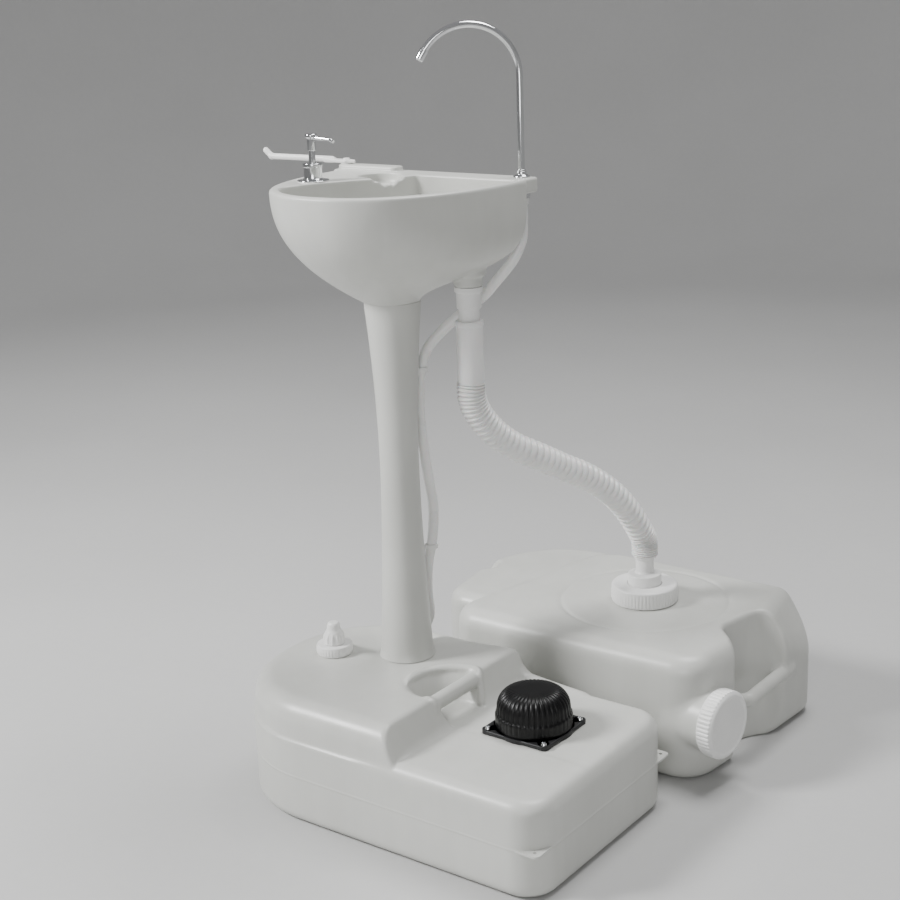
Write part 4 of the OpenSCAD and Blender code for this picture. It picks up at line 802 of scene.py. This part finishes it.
def gooseneck():
    """An upright stretch, then an arc in the plane that points over the bowl, and at its end the
    aerator, whose axis runs back along the tube."""
    rise = np.linspace(804, 951, 40)
    straight = TAP + np.stack([0 * rise, 0 * rise, rise], -1)
    a = np.radians(np.linspace(0, BEND_SWEEP, 90))
    arc = (TAP + np.outer(BEND_R * (1 - np.cos(a)), TAP_WAY)
           + np.outer(BEND_Z + BEND_R * np.sin(a), (0, 0, 1)))
    points, faces = swept(np.concatenate([straight, arc]), TAP_R, TAP_SIDE, 40)
    piece("gooseneck", points, faces, "tap", chrome, ["tap_tube"], 60)
    end = arc[-1]
    back = -(TAP_WAY * np.sin(a[-1]) + np.array([0, 0, np.cos(a[-1])]))
    lathed("tap_aerator", [(0, -12.6), (3, -12.6), (3, -13.5, 0.3), (4.6, -13.5, 0.8),
                           (5.7, -12, 0.8), (5.7, 2, 0.7), (4.6, 2), (4.6, 0.1), (0, 0.1)],
           end, "tap", chrome, ["tap_nozzle"], 48, axis=back)


gooseneck()
lathed("tap_collar", [(0, 831.1), (6, 831.1, 0.6), (6, 833.6, 0.8), (4.55, 833.6), (0, 833.6)],
       TAP, "tap", chrome, cols=48)
lathed("tap_foot", [(0, 796), (7, 796), (7, 823.05), (11, 823.05, 0.4), (11, 824.6, 1.2),
                    (9.4, 826, 1.2), (6.5, 826.4, 1.5), (6.5, 831, 0.8), (4.55, 831), (0, 831)],
       TAP, "stand", chrome, ["tap_bush"], 64)


# Soap pump

lathed("soap_collar_ring", [(0, 824), (21.5, 824, 0.3), (21.5, 824.8, 0.5), (19.5, 825.8, 0.6),
                            (14, 826.2, 0.8), (12.2, 827, 0.8), (12.2, 842, 0.5),
                            (13, 842.6, 0.4), (13, 846.4, 0.7), (12, 847, 0.4), (4.56, 847),
                            (0, 847)],
       SOAP, "stand", chrome, ["soap_collar"], 72)
lathed("soap_press_stem", [(0, 813), (5.9, 813), (5.9, 818), (4.5, 818), (4.5, 873), (0, 873)],
       SOAP, "soap_press", chrome, ["soap_stem"], 40)


def soap_head():
    """A waisted button with a tapering spout that starts inside it and dips 3 degrees."""
    line = soft_profile([(0, 863), (5.8, 863, 0.6), (5.8, 879, 0.8), (8.2, 880.5, 0.8),
                         (8.2, 884, 0.9), (7, 885, 0.7), (0, 885)])
    head, quads = turned_profile(line, SOAP, 56)
    head, faces = joined(head, quads)
    t = np.linspace(0, 1, 30)
    dip = np.radians(3)
    path = np.stack([SOAP[0] + 38 * t * np.cos(dip), SOAP[1] + 0 * t, 880 - 38 * t * np.sin(dip)
                     - 2.5 * ramp(t, 0.82, 1)], -1)
    spout, more = swept(path, 3 - 0.9 * t, (0, 1, 0), 24)
    faces = faces + [[i + len(head) for i in f] for f in more]
    piece("soap_head_and_spout", np.concatenate([head, spout]), faces, "soap_turn", chrome,
          ["soap_head"], 50)


soap_head()


# Towel arm

PIN = (-261, 182)
ARM_Z = 834.2
ARM_R = 4.25
# From the pin to the bend of the hook
ARM_REACH = 141


def towel_form(x, y, z):
    """A flat teardrop plate with the pin's eye, a round bar along -X and an upturned end."""
    u, v = x - PIN[0], y - PIN[1]
    t = np.clip(-u / 34, 0, 1)
    s = np.clip(u / 14, 0, 1)
    blade = np.hypot(u + 34 * t, v) - (8 - 3.2 * t)
    tail = np.hypot(u - 14 * s, v) - (8 - 6.3 * s)
    plate = upright(np.minimum(blade, tail), z, 830.25, 834.7, 1, 1.3)
    along = np.clip(-u, 26, ARM_REACH)
    bar = np.sqrt((u + along) ** 2 + v ** 2 + (z - ARM_Z) ** 2) - ARM_R
    hook_way = np.array([-0.788, 0.6157])
    h = np.clip((u + ARM_REACH) * hook_way[0] + (z - ARM_Z) * hook_way[1], 0, 13.5)
    hook = np.sqrt((u + ARM_REACH - h * hook_way[0]) ** 2 + v ** 2
                   + (z - ARM_Z - h * hook_way[1]) ** 2) - ARM_R
    arm = round_min(round_min(plate, bar, 4), hook, 2)
    return np.maximum(arm, 3.06 - np.hypot(u, v))


points, quads = skin_over(towel_form, knots(-418, -246, 1.1), knots(173.8, 190.2, 1.1),
                          knots(829, 847, 1.1))
piece("towel_rest_arm", points, quads, "towel", bright_white, ["towel_arm"])


# Drain, cuff and adaptor

lathed("drain_washer", [(14.4, 685.02), (18.95, 685.02), (18.95, 686.98), (14.4, 686.98),
                        (14.4, 685.02)],
       DRAIN_AXIS, "stand", bright_white, ["drain_gasket"], 64)
lathed("drain_back_nut", [(0, 658), (14.3, 658), (16.5, 658, 0.8), (16.5, 679.5, 1),
                          (19, 680.2, 0.8), (19, 685), (14.3, 685), (0, 685)],
       DRAIN_AXIS, "stand", bright_white, ["drain_nut"], 80)
lathed("tail_pipe", [(0, 616), (14, 616), (14, 684.9), (0, 684.9)],
       DRAIN_AXIS, "stand", bright_white, ["drain_pipe"], 64)
lathed("smooth_cuff", [(0, 557), (17.6, 557, 0.8), (18, 562, 1), (18, 634, 1), (18.8, 635.5, 1),
                       (18.8, 641, 1.5), (17.4, 642, 0.8), (14.4, 642), (0, 640)],
       DRAIN_AXIS, "stand", hose_white, ["hose_cuff"], 72)
lathed("mouth_adaptor", [(0, 199), (43.5, 199), (43.5, 202, 0.5), (25, 202), (24.5, 203, 0.8),
                         (24.5, 222, 2), (15, 223, 1.5), (13.2, 226, 1), (13.2, 246), (16, 246, 1),
                         (16, 250, 1), (13, 250), (13, 265), (0, 265)],
       MOUTH_AXIS, "stand", bright_white, ["hose_adaptor"], 80)


# Screw caps

# Knurls stand only outside this radius
KNURL_LEAST_R = 24.5


def knurls(count, depth, low, high, sharp=1.0):
    """Ribs round a cap's wall between two heights: the size of the cosine of half the rib count
    times the angle, raised to the power sharp."""
    def wave(radius, height, angle):
        band = ramp(height, low, low + 1.2) * ramp(-height, -high, 1.2 - high)
        return depth * band * (radius > KNURL_LEAST_R) * np.abs(np.cos(count * angle / 2)) ** sharp
    return wave


lathed("mouth_screw_ring", [(44.4, 181.4), (48.6, 181.1, 0.8), (48.7, 183), (48.7, 185),
                            (48.7, 194), (48.7, 203), (48.7, 204.5, 1.2), (46.6, 206.4, 1.2),
                            (30, 206.5, 1), (25.7, 206.4, 0.6), (25.7, 202.4), (44.4, 202.4),
                            (44.4, 181.4)],
       MOUTH_AXIS, "mouth_turn", bright_white, ["mouth_ring"], 480,
       wave=knurls(60, 1.0, 182.6, 203.4, 0.8), crease=60)
lathed("spout_screw_cap", [(0, 56.2), (43.4, 55.8), (46.2, 55.6, 0.8), (46.6, 57.5), (46.6, 60),
                           (46.6, 68), (46.6, 75), (46.6, 77, 1.4), (43.6, 80, 3),
                           (40.5, 80, 1), (38.5, 78.4, 1), (0, 78.3)],
       SPOUT, "spout_turn", bright_white, ["spout_cap"], 480,
       axis=SPOUT_WAY, wave=knurls(48, 1.4, 57, 77, 0.8), crease=60)
lathed("filler_screw_cap", [(0, 170.8), (21, 170.8), (24.6, 170.6, 0.7), (24.9, 172.5),
                            (24.9, 174), (24.9, 182), (24.9, 183, 0.8), (24, 184.5, 1.2),
                            (10.2, 184.5, 0.4), (10, 186), (10, 198.6, 1), (0, 198.9)],
       FILLER_AXIS, "filler_turn", bright_white, ["filler_cap"], 288,
       wave=knurls(36, 0.8, 172.2, 182.6, 0.9), crease=60)


def stopper_ribs(radius, height, angle):
    """Twelve rounded ribs that fade out towards the knob."""
    band = ramp(height, 186, 188) * ramp(-height, -201, -196)
    return 1.3 * band * (radius > 8) * np.maximum(np.cos(12 * angle), 0) ** 0.7


lathed("filler_ribbed_stopper", [(0, 184.8), (15, 184.8, 0.8), (14.9, 187), (14.4, 192.7),
                                 (13.4, 197), (12.2, 201.7, 1.5), (9.7, 205.5, 2.5),
                                 (9.1, 212, 2.5), (7, 215.6, 1.5), (0, 215.7)],
       FILLER_AXIS, "stopper", bright_white, ["filler_stopper"], 192,
       wave=stopper_ribs, crease=60)


# Floor and light

pale = moulded("pale_floor", (0.55, 0.55, 0.545), (0.52, 0.52, 0.515), 0.6, 0.75, pebble=60.0,
               depth=0.0002, cloud=1.2)
bend = np.radians(np.linspace(0, 90, 24))
rim = [(0, 0), (3600, 0)] + [(3600 + 2200 * np.sin(t), 2200 - 2200 * np.cos(t)) for t in bend]
points, quads = turned_profile(np.array(rim + [(5800, 4200)])[::-1], (0, 200, 0), 128)
points, faces = joined(points, quads)
sweep = bpy.data.meshes.new("floor_and_backdrop")
sweep.from_pydata((points * MM).tolist(), [], faces)
sweep.shade_smooth()
sweep.materials.append(pale)
ground = bpy.data.objects.new("floor_and_backdrop", sweep)
bpy.context.collection.objects.link(ground)


def soft_light(name, place, aim, size, power):
    """A square area light at place that faces aim."""
    data = bpy.data.lights.new(name, "AREA")
    data.size = size
    data.energy = power
    lamp = bpy.data.objects.new(name, data)
    bpy.context.collection.objects.link(lamp)
    lamp.location = place
    lamp.rotation_euler = (Vector(aim) - Vector(place)).to_track_quat("-Z", "Y").to_euler()


soft_light("key", (-1.8, -1.7, 2.2), (0, 0.1, 0.4), 0.8, 135)
soft_light("top", (0.3, 0.9, 3.1), (0.1, 0.2, 0.3), 1.3, 72)
soft_light("fill", (1.6, -2.6, 1.2), (0, 0.1, 0.4), 1.2, 22)
world = bpy.data.worlds.new("studio")
bpy.context.scene.world = world
world.use_nodes = True
world.node_tree.nodes["Background"].inputs["Color"].default_value = (0.9, 0.9, 0.92, 1)
world.node_tree.nodes["Background"].inputs["Strength"].default_value = 0.3
